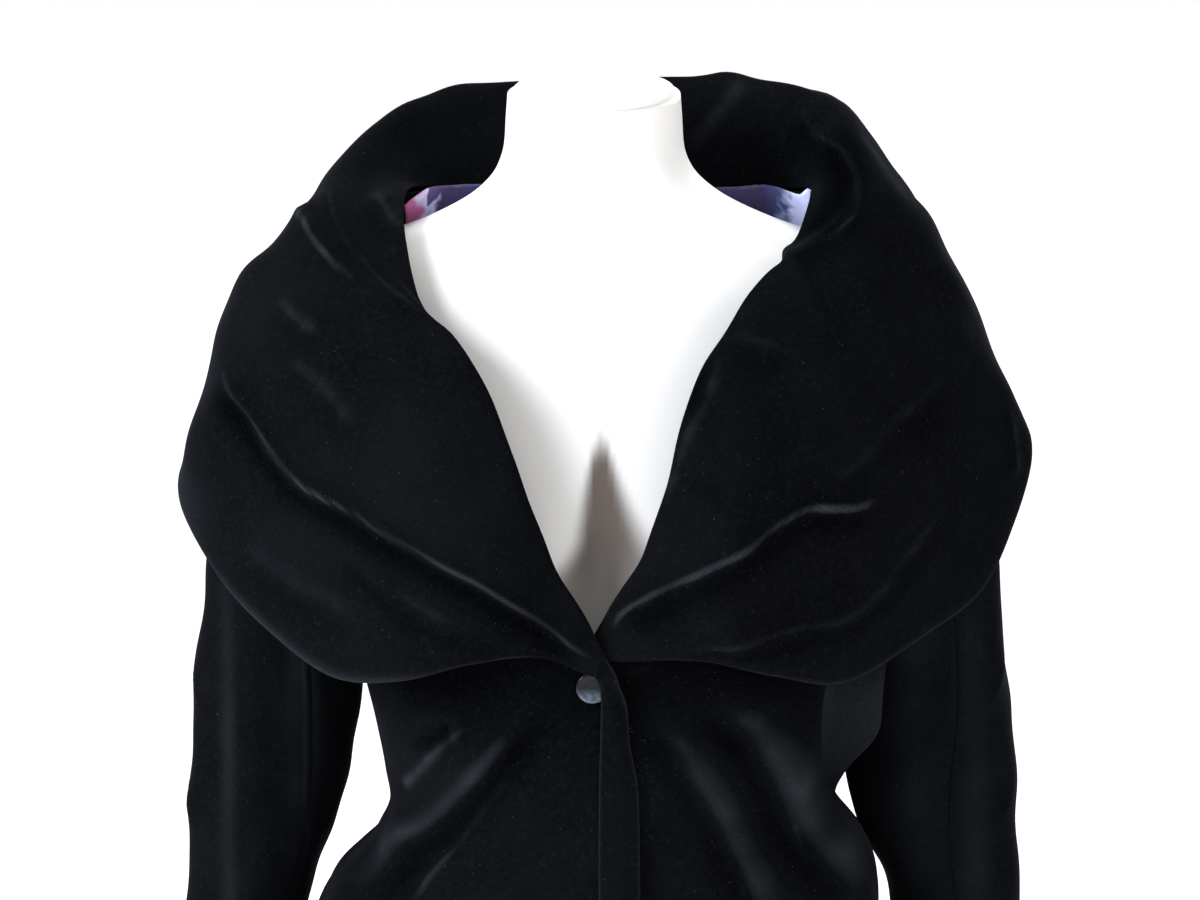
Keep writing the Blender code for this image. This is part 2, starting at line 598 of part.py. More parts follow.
def back_panel(columns):
    rows = PANEL_ROWS
    start = side_angle(1, rows, "back") + SEAM_GAP / 2 / SIDE_RADIUS
    end = 2 * math.pi + side_angle(-1, rows, "back") - SEAM_GAP / 2 / SIDE_RADIUS
    angle = even_angles(start, end, rows, columns, back_top)
    height = np.repeat(rows[:, None], columns, axis=1)
    grid = body_points(angle, height, back_top)
    neck = 1 - ease(np.abs(grid[..., 0]), 0.112, 0.132)
    pull = back_neckline(grid[-1, :, 0])[0] - grid[-1, :, 1]
    grid[..., 1] += pull * neck * ease(height, 1.30, SHOULDER_TOP)
    grid[..., 1] += ease(height, SHOULDER_TOP - 0.003, SHOULDER_TOP) * SEAM_GAP / 2
    grid = flank_pouch(skirt_waves(grid, angle), angle)
    normals = grid_normals(grid, 1)
    for column in (0, -1):
        normals[:, column] = body_normals(angle[:, column], rows)
    return grid, shoulder_normals(grid, normals)


def armhole_loop(side, around):
    """The armhole's edge at angles round from the shoulder, by way of the front."""
    share = (1 - np.cos(around)) / 2
    height = SHOULDER_TOP - share * (SHOULDER_TOP - UNDERARM)
    parts = {
        part: body_points(side_angle(side, height, part), height, shoulder_ridge)
        for part in ("front", "back")
    }
    front = (np.sin(around) > 0)[..., None]
    points = np.where(front, parts["front"], parts["back"])
    points[..., 0] += side * ARMHOLE_GAP
    return points


def sleeve_points(side, row, around):
    """Points of a sleeve at table row (any fraction) and angle round from its outer side."""
    table = SLEEVE_RIGHT if side < 0 else SLEEVE_LEFT

    def ring(at):
        outer_x, inner_x = table.read("outer_x", at), table.read("inner_x", at)
        outer_z, inner_z = table.read("outer_z", at), table.read("inner_z", at)
        turn = np.cos(around)
        return np.stack([
            side * ((outer_x + inner_x) / 2 + turn * (outer_x - inner_x) / 2),
            table.read("middle", at) - table.read("depth", at) * np.sin(around),
            (outer_z + inner_z) / 2 + turn * (outer_z - inner_z) / 2,
        ], axis=-1)

    join = armhole_loop(side, around) - ring(np.zeros_like(row))
    fade = np.clip(1 - row / 1.5, 0.0, 1.0)[..., None] ** 2
    return ring(row) + join * fade


def sleeve_panel(side, upper, columns):
    """Half of a two-piece sleeve, between its front and back seams."""
    table = SLEEVE_RIGHT if side < 0 else SLEEVE_LEFT
    row = np.concatenate([np.linspace(0, 2, 4)[:-1], np.linspace(2, 11, 13)])
    gap = SEAM_GAP / 2 / SLEEVE_RADIUS
    front = np.radians(table.read("seam", row))
    back = np.full_like(front, math.radians(BACK_SLEEVE_SEAM))
    start, end = (back - 2 * math.pi, front) if upper else (front, back)
    s = np.linspace(0.0, 1.0, columns)
    around = (start + gap)[:, None] + (end - start - 2 * gap)[:, None] * s
    row = np.repeat(row[:, None], columns, axis=1)

    def surface(around, row):
        return sleeve_points(side, np.clip(row, 0, 11), around)

    return surface(around, row), surface_normals(surface, around, row, side)


# Where the six control points of a collar section lie along it: seam, stand, roll, and so on.
COLLAR_STOPS = (0.0, 0.5, 1.0, 2.1, 3.6, 5.0)


def collar_controls():
    """Six control points for each section, from the neckline seam to the outer edge."""
    names = SECTION_NAMES.split()[1:]
    right = np.stack([COLLAR_RIGHT.column(name) for name in names], axis=1)
    left = np.stack([COLLAR_LEFT.column(name) for name in names], axis=1)
    rows = np.concatenate([right, [COLLAR_BACK], left[::-1]])
    seam, roll, edge, bulge = rows[:, 0:3], rows[:, 3:6], rows[:, 6:9], rows[:, 9:10]
    fall = edge - roll
    fall_way = fall / np.linalg.norm(fall, axis=1, keepdims=True)
    middle = (edge + roll) / 2 - np.array([0.0, 0.02, 0.0])
    middle[:, 2] = 0.0
    out = middle / np.linalg.norm(middle, axis=1, keepdims=True) + np.array([0.0, 0.0, 0.35])
    out = out - np.sum(out * fall_way, axis=1, keepdims=True) * fall_way
    out = out / np.linalg.norm(out, axis=1, keepdims=True)
    from_end = np.minimum(np.arange(len(rows)), np.arange(len(rows))[::-1])[:, None]
    opened = 0.0030 * (1 - ease(from_end, 2, 4)) + 0.0006
    stand = seam + 0.60 * (roll - seam) - (0.10 * bulge + opened) * out
    upper = roll + 0.25 * fall + 0.95 * bulge * out
    lower = roll + 0.63 * fall + 0.72 * bulge * out
    return np.stack([seam, stand, roll, upper, lower, edge], axis=1)


def collar_points(u, v):
    """Collar surface: u runs over the sections round the neck, v from the seam to the edge."""
    controls = collar_controls()
    across = smooth_curve(np.arange(len(controls)), controls, u)
    return smooth_curve(COLLAR_STOPS, np.swapaxes(across, 0, 1), v).swapaxes(0, 1)


def collar_grid(u_count, v_stops):
    sections = len(COLLAR_RIGHT.rows) * 2
    u = np.linspace(0, sections, u_count)
    grid = collar_points(u, v_stops)
    normals = grid_normals(grid, -1)
    fall = ease(v_stops, 1.2, 2.1)[None, :] * (1 - 0.5 * ease(v_stops, 4.5, 5.0))[None, :]
    ahead = 1 - ease(grid[..., 1], -0.01, 0.03)
    lift = fold_height(COLLAR_FOLDS, grid[..., 0], grid[..., 2]) * fall * ahead
    return grid + normals * lift[..., None]


def front_surface(x, z, lift):
    """Points at (x, z) on the front of the body, lift metres ahead of it."""
    points = body_points(angle_at(x, z), z, shoulder_ridge)
    points = skirt_waves(points, angle_at(x, z))
    points[..., 1] -= lift
    return points


def band_grid(columns):
    row = np.concatenate([np.linspace(0, 6, 19)[:-1], np.linspace(6, 10, 8)])
    s = np.linspace(0.0, 1.0, columns)
    inner = np.stack([BAND.read("inner_x", row), BAND.read("inner_z", row)], axis=-1)
    edge = np.stack([BAND.read("edge_x", row), BAND.read("edge_z", row)], axis=-1)
    flat = inner[:, None] + (edge - inner)[:, None] * s[None, :, None]
    x, z = flat[..., 0], flat[..., 1]
    over_button = np.exp(-(((z - BUTTON_PLACE[1]) / 0.020) ** 2)) * (1 - ease(s, 0.25, 1.0))
    crown = BAND_CROWN * np.sin(math.pi * s)
    lift = lap_offset(z) + CLOTH + 0.0007 + crown + BAND_LIFT * over_button
    lift = np.maximum(lift, lap_offset(z) + CLOTH + BAND_TOP_LIFT * ease(z, 1.100, 1.148))
    return front_surface(x, z, lift)


def lining_grid(columns):
    """Back neck lining, just inside the back below the neckline seam."""
    drop = np.linspace(LINING_DEPTH, 0.0, LINING_ROWS)
    x = np.linspace(-LINING_HALF, LINING_HALF, columns)
    neck_y, top = back_neckline(x)
    top = np.minimum(top, shoulder_ridge(x) - LINING_BELOW_RIDGE) - LINING_BELOW_SEAM
    z = top[None, :] - drop[:, None] * (1 - LINING_TAPER * (x / LINING_HALF) ** 2)[None, :]
    level = z - neck_relief(x) * ease(z, 1.25, 1.37)
    ratio = (1 - (np.abs(x) / BODY.read("left", level)) ** SQUARENESS) ** (1 / SQUARENESS)
    y = BODY.read("middle", level) + BODY.read("back", level) * ratio
    fade = (1 - ease(np.abs(x), 0.112, 0.132)) * ease(z, 1.30, SHOULDER_TOP)
    y = y + (neck_y - y[-1]) * fade
    grid = np.stack([np.repeat(x[None, ::-1], LINING_ROWS, axis=0), y[:, ::-1], z[:, ::-1]], axis=-1)
    normals = grid_normals(grid, 1)
    return grid - normals * (CLOTH + LINING_BEHIND)


def disc(name, centre, radius, thickness, way, finish, segments=28, round_over=0.0):
    """A turned disc: its back face's centre, and the direction that its front faces."""
    way = np.asarray(way, float) / np.linalg.norm(way)
    side = np.cross(way, [0.0, 0.0, 1.0] if abs(way[2]) < 0.9 else [1.0, 0.0, 0.0])
    side /= np.linalg.norm(side)
    other = np.cross(way, side)
    profile = [(radius - round_over, 0.0), (radius, round_over)]
    profile += [(radius, thickness - round_over), (radius - round_over, thickness)]
    if round_over == 0.0:
        profile = [(radius, 0.0), (radius, thickness)]
    turn = np.linspace(0, 2 * math.pi, segments, endpoint=False)
    ring = np.cos(turn)[:, None] * side + np.sin(turn)[:, None] * other
    points = np.concatenate([np.asarray(centre) + way * h + ring * r for r, h in profile])
    faces = []
    for k in range(len(profile) - 1):
        for i in range(segments):
            j = (i + 1) % segments
            low, high = k * segments, (k + 1) * segments
            faces.append((low + i, low + j, high + j, high + i))
    last = (len(profile) - 1) * segments
    faces.append(tuple(range(segments))[::-1])
    faces.append(tuple(last + i for i in range(segments)))
    return add_mesh(name, points, faces, finish)


def form_points(angle, height):
    """The dress form's skin: rounded rings with a soft bust and a hollow between."""
    sine, cosine = np.sin(angle), np.cos(angle)
    x = FORM.read("half", height) * np.sign(sine) * np.abs(sine) ** FORM_SQUARENESS
    depth = np.where(cosine > 0, -FORM.read("front", height), FORM.read("back", height))
    y = FORM.read("middle", height) + depth * np.abs(cosine) ** FORM_SQUARENESS
    ahead = ease(cosine, 0.1, 0.5)
    rise = np.exp(-(((height - BUST_HEIGHT) / 0.040) ** 2)) * ahead
    apex = np.exp(-(((np.abs(x) - BUST_HALF) / 0.036) ** 2))
    hollow = np.exp(-((x / 0.026) ** 2))
    y = y - BUST_RISE * rise * apex + HOLLOW_DEPTH * rise * hollow
    return np.stack([x, y, height], axis=-1)


def dress_form(finish):
    """The form's body, whose neck leans over to the tilt of its cap."""
    segments = FORM_SEGMENTS
    waist = ((FORM_BOTTOM, 3), (1.02, 2), (1.12, 6))
    rows = heights_between(*waist, (1.30, 3), (1.38, 9), (1.485, 0))
    turn = np.linspace(0, 2 * math.pi, segments, endpoint=False)
    angle = np.repeat(turn[None], len(rows), axis=0)
    rings = form_points(angle, np.repeat(rows[:, None], segments, axis=1))
    lean = ease(rings[..., 2], 1.455, 1.485)
    rings[..., 2] += lean * (0.0115 + (rings[..., 1] - NECK_TOP[1]) * math.tan(CAP_TILT))
    shift = ease(rings[..., 2], 1.40, 1.46)
    rings[..., 0] += NECK_TOP[0] * shift
    points = rings.reshape(-1, 3)
    faces = []
    for k in range(len(rows) - 1):
        for i in range(segments):
            j = (i + 1) % segments
            low, high = k * segments, (k + 1) * segments
            faces.append((low + i, low + j, high + j, high + i))
    last = (len(rows) - 1) * segments
    faces.append(tuple(range(segments))[::-1])
    faces.append(tuple(last + i for i in range(segments)))
    return add_mesh("form_torso", points, faces, finish)


def main():
    for obj in list(bpy.data.objects):
        bpy.data.objects.remove(obj)
    velvet = material("velvet", (0.012, 0.012, 0.016), 0.9)
    lining = material("lining", (0.16, 0.12, 0.42), 0.4)
    glossy = material("button_gloss", (0.03, 0.035, 0.045), 0.15)
    shell = material("form_shell", (0.88, 0.87, 0.85), 0.35)
    metal = material("stand_metal", (0.80, 0.80, 0.80), 0.3)

    stops = (0, 0.35, 0.65, 0.80, 0.93, 1.06, 1.20, 1.38, 1.65, 2.0, 2.4, 2.8, 3.25, 3.7, 4.15, 4.6, 5)
    stops = np.array(stops)
    ends = np.linspace(-1.0, 1.0, 71)[:, None]
    thin_ends = 1 - 0.5 * ease(np.abs(ends), 0.88, 0.96)
    thickness = COLLAR_CLOTH * thin_ends * np.interp(stops, [0, 0.6, 1.2, 2], [0.45, 0.7, 0.7, 1])
    wall("shawl_collar", collar_grid(71, stops), thickness, velvet, facing=-1)

    for side, name in ((-1, "right"), (1, "left")):
        grid, normals = front_panel(side, 16)
        wall(f"front_{name}", grid, CLOTH, velvet, facing=side, normals=normals)
        for upper, part in ((True, "upper"), (False, "under")):
            panel, normals = sleeve_panel(side, upper, SLEEVE_COLUMNS[side, upper])
            depth = np.interp(np.arange(len(panel)), [0, 1, 3], [0.0006, 0.0010, CLOTH])[:, None]
            wall(f"sleeve_{name}_{part}", panel, depth, velvet, facing=side, normals=normals)

    grid, normals = back_panel(17)
    wall("back", grid, CLOTH, velvet, normals=normals)
    wall("front_band", band_grid(4), CLOTH, velvet, facing=-1)
    wall("neck_lining", lining_grid(15), LINING_THICK, lining)

    x, z = BUTTON_PLACE
    back_face = front_surface(np.array(x), np.array(z), lap_offset(z) + 0.0009)
    disc("button", back_face, BUTTON_RADIUS, BUTTON_THICK, (0, -1, -0.13), glossy, round_over=0.001)

    dress_form(shell)
    tilt = np.array([0.0, -math.sin(CAP_TILT), math.cos(CAP_TILT)])
    cap_centre = np.array(NECK_TOP) + tilt * 0.0005
    disc("form_neck_cap", cap_centre, NECK_HALF_WIDTH - 0.004, CAP_THICK, tilt, shell, 40, 0.001)
    pole_length = FORM_BOTTOM - BASE_THICK - 2 * SEAM_GAP
    pole_foot = (0.0, 0.0, BASE_THICK + SEAM_GAP)
    disc("form_pole", pole_foot, POLE_RADIUS, pole_length, (0, 0, 1), metal, 20)
    disc("form_base", (0.0, 0.0, 0.0), BASE_RADIUS, BASE_THICK, (0, 0, 1), metal, 48, BASE_ROUND)


main()
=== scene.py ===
"""A velvet overcoat with a deep shawl collar on a limbless dress form, finished for a render.

Metres, +Z up. The coat faces -Y and the wearer's right is at -X. Each piece of cloth is a thin
closed wall on the form of its solid, from the same tables, with finer creases and a round edge.
"""

import math

import bmesh
import bpy
import numpy as np
from bpy.props import FloatProperty, FloatVectorProperty, PointerProperty
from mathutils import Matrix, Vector


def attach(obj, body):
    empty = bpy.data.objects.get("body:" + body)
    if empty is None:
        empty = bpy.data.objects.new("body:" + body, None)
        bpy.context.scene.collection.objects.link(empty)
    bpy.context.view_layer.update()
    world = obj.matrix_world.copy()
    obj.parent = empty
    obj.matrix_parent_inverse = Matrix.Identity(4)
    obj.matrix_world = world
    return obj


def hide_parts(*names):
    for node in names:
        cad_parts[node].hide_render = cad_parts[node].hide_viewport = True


bl_info = {
    "name": "Velvet overcoat",
    "version": (1, 0, 0),
    "blender": (4, 5, 0),
    "location": "View3D > Sidebar > Overcoat",
    "description": "Builds a velvet overcoat with a deep shawl collar on a dress form",
    "category": "Add Mesh",
}

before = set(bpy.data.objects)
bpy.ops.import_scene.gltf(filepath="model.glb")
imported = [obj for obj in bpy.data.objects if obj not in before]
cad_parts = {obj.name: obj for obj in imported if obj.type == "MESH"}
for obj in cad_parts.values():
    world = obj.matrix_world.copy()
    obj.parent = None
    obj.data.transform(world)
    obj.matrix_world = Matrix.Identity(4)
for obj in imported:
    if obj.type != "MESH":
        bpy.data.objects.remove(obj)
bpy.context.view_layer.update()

# Cloth
CLOTH = 0.002
COLLAR_CLOTH = 0.003
SEAM_GAP = 0.0004
ARMHOLE_GAP = 0.0013
SIDE_RADIUS = 0.16
SLEEVE_RADIUS = 0.05

# Heights of the coat
HEM = 0.36
UNDERARM = 1.19
SHOULDER_TOP = 1.4315
BREAK = 1.150
FLARE_TOP = 0.93
WALL_RISE = 1.30

# Body of the coat
SQUARENESS = 2.3
NECK_HALF_RIGHT = 0.130
NECK_HALF_LEFT = 0.139
NECK_RELIEF = 0.070
NECK_INSET_LOW = 0.0036
NECK_INSET_HIGH = 0.0060
SHOULDER_SLOPE_RIGHT = 0.70
SHOULDER_SLOPE_LEFT = 0.90
LAP_GAP = 0.0007
LAP_GAP_AT_HEM = 0.0040
LAP_HALF = 0.040
BAND_LAP_GAP = 0.0007
BUTTON_GAP = 0.0009
# Where the back's pull to its neckline fades out, as distances from the middle.
NECK_FADE = (0.112, 0.132)
# Heights over which the body's upper rings are raised round the neck.
RELIEF_HEIGHTS = (1.25, 1.37)
# Distances from a border over which creases and ripples fade in.
CALM_BORDER = (0.004, 0.03)

# Back neck lining
LINING_HALF = 0.136
LINING_DEPTH = 0.062
LINING_THICK = 0.001
LINING_BEHIND = 0.0046
LINING_BELOW_SEAM = 0.0020
LINING_BELOW_RIDGE = 0.0030
LINING_TAPER = 0.79

# Button and front band
BUTTON_PLACE = (-0.0047, 1.1294)
BUTTON_RADIUS = 0.0105
BUTTON_THICK = 0.0030
BAND_LIFT = 0.0056
BAND_TOP_LIFT = 0.0085
BAND_CROWN = 0.0016

# Dress form
CAP_TILT = math.radians(10.9)
NECK_TOP = (-0.004, 0.020, 1.4965)
FORM_BOTTOM = 0.78
FORM_SQUARENESS = 0.93


class Table:
    """A short table with named columns, read as smooth curves along its first column."""

    def __init__(self, names, *rows):
        self.names = names.split()
        self.rows = np.array(rows, float)

    def column(self, name):
        return self.rows[:, self.names.index(name)]

    def read(self, name, at):
        return smooth_curve(self.rows[:, 0], self.column(name), at)


def smooth_curve(knots, values, at):
    """Cubic curve through values at rising knots, with central-difference tangents."""
    knots = np.asarray(knots, float)
    values = np.asarray(values, float)
    at = np.clip(np.asarray(at, float), knots[0], knots[-1])
    tangents = np.gradient(values, knots, axis=0)
    i = np.clip(np.searchsorted(knots, at, side="right") - 1, 0, len(knots) - 2)
    step = knots[i + 1] - knots[i]
    t = (at - knots[i]) / step
    shape = at.shape + (1,) * (values.ndim - 1)
    t = t.reshape(shape)
    step = step.reshape(shape)
    return (
        (2 * t**3 - 3 * t**2 + 1) * values[i]
        + (t**3 - 2 * t**2 + t) * step * tangents[i]
        + (3 * t**2 - 2 * t**3) * values[i + 1]
        + (t**3 - t**2) * step * tangents[i + 1]
    )


def ease(value, low, high):
    """0 below low, 1 above high, with a smooth step between."""
    t = np.clip((value - low) / (high - low), 0.0, 1.0)
    return t * t * (3 - 2 * t)


def between(value, begin, full, fading, gone):
    """0 up to begin, 1 from full to fading, and 0 again past gone, with smooth steps."""
    return ease(value, begin, full) * (1 - ease(value, fading, gone))


def bell(distance, reach):
    """1 at no distance, falling as e to the minus squared distance over the reach."""
    return np.exp(-((distance / reach) ** 2))


# Half widths to the wearer's right and left, depths before and behind, and the middle's y.
BODY = Table(
    "height right left front back middle",
    (0.360, 0.302, 0.298, 0.200, 0.230, 0.000),
    (0.600, 0.268, 0.264, 0.172, 0.190, 0.000),
    (0.800, 0.226, 0.222, 0.147, 0.152, 0.000),
    (0.900, 0.206, 0.198, 0.133, 0.125, 0.000),
    (0.940, 0.196, 0.192, 0.128, 0.112, 0.000),
    (0.965, 0.184, 0.190, 0.124, 0.104, 0.000),
    (0.985, 0.165, 0.186, 0.121, 0.100, 0.000),
    (1.000, 0.150, 0.178, 0.119, 0.098, 0.000),
    (1.018, 0.141, 0.163, 0.119, 0.098, 0.000),
    (1.045, 0.145, 0.155, 0.121, 0.101, 0.000),
    (1.075, 0.151, 0.155, 0.124, 0.104, 0.000),
    (1.105, 0.157, 0.157, 0.127, 0.106, 0.000),
    (1.150, 0.162, 0.165, 0.133, 0.107, 0.000),
    (1.190, 0.176, 0.178, 0.139, 0.106, 0.003),
    (1.240, 0.192, 0.194, 0.135, 0.103, 0.005),
    (1.300, 0.200, 0.202, 0.120, 0.094, 0.007),
    (1.360, 0.207, 0.208, 0.094, 0.072, 0.010),
    (1.400, 0.211, 0.211, 0.062, 0.042, 0.013),
    (1.420, 0.212, 0.212, 0.032, 0.021, 0.015),
    (1.4315, 0.212, 0.212, 0.000, 0.000, 0.016),
)

# Side seams in degrees round from the middle of the front.
SIDES = Table(
    "height right left",
    (0.360, 88, 88),
    (0.985, 88, 88),
    (1.011, 88, 84),
    (1.037, 88, 74),
    (1.055, 88, 70),
    (1.080, 88, 69),
    (1.110, 88, 70),
    (1.150, 88, 80),
    (1.190, 88, 88),
)

# How far the armhole's front and back edges stand from the middle.
ARMHOLE = Table(
    "height front back",
    (1.190, 0.1745, 0.1745),
    (1.220, 0.1690, 0.1730),
    (1.250, 0.1650, 0.1720),
    (1.300, 0.1640, 0.1720),
    (1.360, 0.1710, 0.1770),
    (1.410, 0.1830, 0.1850),
    (1.4315, 0.1900, 0.1900),
)

# Front edges below the break, as x at each height.
FRONT_EDGE = Table(
    "height right left",
    (0.360, 0.029, -0.036),
    (0.900, 0.025, -0.032),
    (1.000, 0.025, -0.030),
    (1.056, 0.0235, -0.028),
    (1.083, 0.019, -0.024),
    (1.113, 0.016, -0.018),
    (1.135, 0.009, -0.008),
    (1.150, 0.0015, 0.004),
)

# Front band: its fold edge and its inner edge, from the break down.
BAND = Table(
    "row edge_x edge_z inner_x inner_z",
    (0, 0.0030, 1.1520, -0.0042, 1.1386),
    (1, 0.0096, 1.1403, -0.0008, 1.1316),
    (2, 0.0125, 1.1310, 0.0002, 1.1230),
    (3, 0.0172, 1.1160, 0.0003, 1.1120),
    (4, 0.0195, 1.0900, -0.0002, 1.0900),
    (5, 0.0245, 1.0600, -0.0008, 1.0600),
    (6, 0.0260, 1.0000, -0.0010, 1.0000),
    (7, 0.0260, 0.9000, 0.0000, 0.9000),
    (8, 0.0270, 0.7200, 0.0000, 0.7200),
    (9, 0.0285, 0.5400, 0.0010, 0.5400),
    (10, 0.0300, 0.3600, 0.0020, 0.3600),
)

# Collar sections, from the break up to the side of the neck: the neckline seam, the roll line,
# the outer edge, and how far the fall stands out between the last two.
SECTION_NAMES = "row seam_x seam_y seam_z roll_x roll_y roll_z edge_x edge_y edge_z bulge"
COLLAR_RIGHT = Table(
    SECTION_NAMES,
    (0, 0.0010, -0.1395, 1.1480, 0.0022, -0.1475, 1.1535, -0.0050, -0.1465, 1.1395, 0.003),
    (1, -0.0400, -0.1350, 1.2010, -0.0250, -0.1470, 1.2070, -0.0380, -0.1490, 1.1500, 0.007),
    (2, -0.0600, -0.1290, 1.2450, -0.0440, -0.1460, 1.2510, -0.0820, -0.1440, 1.1440, 0.016),
    (3, -0.0760, -0.1160, 1.2880, -0.0590, -0.1350, 1.2940, -0.1270, -0.1330, 1.1310, 0.026),
    (4, -0.0920, -0.1000, 1.3200, -0.0750, -0.1180, 1.3260, -0.1730, -0.1120, 1.1290, 0.032),
    (5, -0.1060, -0.0840, 1.3450, -0.0940, -0.0980, 1.3470, -0.2170, -0.0860, 1.1540, 0.034),
    (6, -0.1160, -0.0680, 1.3680, -0.1130, -0.0860, 1.3610, -0.2530, -0.0580, 1.1850, 0.034),
    (7, -0.1240, -0.0450, 1.3950, -0.1410, -0.0660, 1.3870, -0.2845, -0.0080, 1.2260, 0.040),
    (8, -0.1290, -0.0150, 1.4190, -0.1690, -0.0300, 1.4190, -0.2820, 0.0450, 1.2450, 0.034),
    (9, -0.1280, 0.0150, 1.4330, -0.1720, 0.0100, 1.4400, -0.2620, 0.0950, 1.2550, 0.023),
    (10, -0.1180, 0.0400, 1.4340, -0.1570, 0.0450, 1.4640, -0.2280, 0.1400, 1.2600, 0.022),
    (11, -0.0950, 0.0630, 1.4300, -0.1230, 0.0850, 1.4910, -0.1700, 0.1800, 1.2620, 0.024),
    (12, -0.0600, 0.0800, 1.4270, -0.0780, 0.1100, 1.4980, -0.0950, 0.2070, 1.2620, 0.022),
)
COLLAR_BACK = (0.0, 0.092, 1.425, 0.0, 0.121, 1.500, 0.0, 0.216, 1.262, 0.022)
COLLAR_LEFT = Table(
    SECTION_NAMES,
    (0, 0.0095, -0.1342, 1.1510, 0.0020, -0.1405, 1.1610, 0.0110, -0.1425, 1.1480, 0.003),
    (1, 0.0420, -0.1345, 1.2070, 0.0250, -0.1470, 1.2140, 0.0630, -0.1450, 1.1470, 0.012),
    (2, 0.0590, -0.1290, 1.2520, 0.0420, -0.1450, 1.2580, 0.1140, -0.1350, 1.1340, 0.022),
    (3, 0.0740, -0.1080, 1.3080, 0.0570, -0.1260, 1.3150, 0.1600, -0.1130, 1.1260, 0.030),
    (4, 0.0920, -0.0880, 1.3420, 0.0770, -0.1020, 1.3480, 0.2110, -0.0870, 1.1500, 0.034),
    (5, 0.1140, -0.0600, 1.3830, 0.1090, -0.0760, 1.3860, 0.2530, -0.0600, 1.1760, 0.032),
    (6, 0.1270, -0.0400, 1.4040, 0.1430, -0.0550, 1.4050, 0.2790, -0.0250, 1.2170, 0.028),
    (7, 0.1350, -0.0150, 1.4210, 0.1700, -0.0300, 1.4290, 0.2935, 0.0050, 1.2560, 0.019),
    (8, 0.1390, 0.0050, 1.4310, 0.1720, -0.0050, 1.4510, 0.2880, 0.0400, 1.2650, 0.019),
    (9, 0.1380, 0.0250, 1.4340, 0.1630, 0.0200, 1.4710, 0.2740, 0.0780, 1.2680, 0.022),
    (10, 0.1230, 0.0480, 1.4310, 0.1420, 0.0600, 1.4940, 0.2460, 0.1220, 1.2680, 0.028),
    (11, 0.0950, 0.0670, 1.4270, 0.0980, 0.1000, 1.5040, 0.1850, 0.1720, 1.2650, 0.028),
    (12, 0.0560, 0.0820, 1.4250, 0.0600, 0.1130, 1.5030, 0.1050, 0.2050, 1.2620, 0.024),
)

# Sleeve sections from the shoulder to the cuff: outer and inner points, the middle's y, half
# the depth, and the front seam's place in degrees round from the outer point.
SLEEVE_NAMES = "row outer_x outer_z inner_x inner_z middle depth seam"
SLEEVE_RIGHT = Table(
    SLEEVE_NAMES,
    (0, 0.1930, 1.3960, 0.1775, 1.1880, 0.014, 0.066, 112),
    (1, 0.2060, 1.3920, 0.1860, 1.1810, 0.014, 0.067, 112),
    (2, 0.2220, 1.3720, 0.1860, 1.1720, 0.016, 0.067, 113),
    (3, 0.2370, 1.3350, 0.1810, 1.1610, 0.018, 0.066, 114),
    (4, 0.2500, 1.2800, 0.1745, 1.1480, 0.021, 0.064, 115),
    (5, 0.2620, 1.2150, 0.1680, 1.1300, 0.024, 0.061, 116),
    (6, 0.2720, 1.1500, 0.1650, 1.1080, 0.026, 0.059, 118),
    (7, 0.2795, 1.0900, 0.1640, 1.0850, 0.028, 0.058, 120),
    (8, 0.2830, 1.0200, 0.1770, 1.0200, 0.028, 0.055, 130),
    (9, 0.2860, 0.9470, 0.2010, 0.9470, 0.026, 0.051, 144),
    (10, 0.2950, 0.8800, 0.2180, 0.8800, 0.022, 0.048, 144),
    (11, 0.3110, 0.8000, 0.2380, 0.8000, 0.016, 0.046, 140),
)
SLEEVE_LEFT = Table(
    SLEEVE_NAMES,
    (0, 0.1930, 1.3960, 0.1795, 1.1880, 0.014, 0.066, 70),
    (1, 0.2060, 1.3920, 0.1880, 1.1810, 0.014, 0.067, 70),
    (2, 0.2220, 1.3720, 0.1880, 1.1720, 0.016, 0.067, 70),
    (3, 0.2380, 1.3350, 0.1830, 1.1610, 0.019, 0.066, 70),
    (4, 0.2510, 1.2800, 0.1765, 1.1480, 0.023, 0.064, 70),
    (5, 0.2640, 1.2150, 0.1710, 1.1300, 0.027, 0.061, 70),
    (6, 0.2740, 1.1500, 0.1690, 1.1080, 0.030, 0.058, 71),
    (7, 0.2820, 1.0900, 0.1670, 1.0850, 0.031, 0.057, 74),
    (8, 0.2870, 1.0200, 0.1720, 1.0200, 0.030, 0.055, 84),
    (9, 0.2910, 0.9470, 0.2000, 0.9470, 0.027, 0.051, 95),
    (10, 0.2970, 0.8800, 0.2160, 0.8800, 0.023, 0.048, 97),
    (11, 0.3110, 0.8000, 0.2350, 0.8000, 0.017, 0.046, 97),
)
BACK_SLEEVE_SEAM = 262.0
SLEEVE_COLUMNS = {(-1, True): 10, (-1, False): 8, (1, True): 8, (1, False): 10}

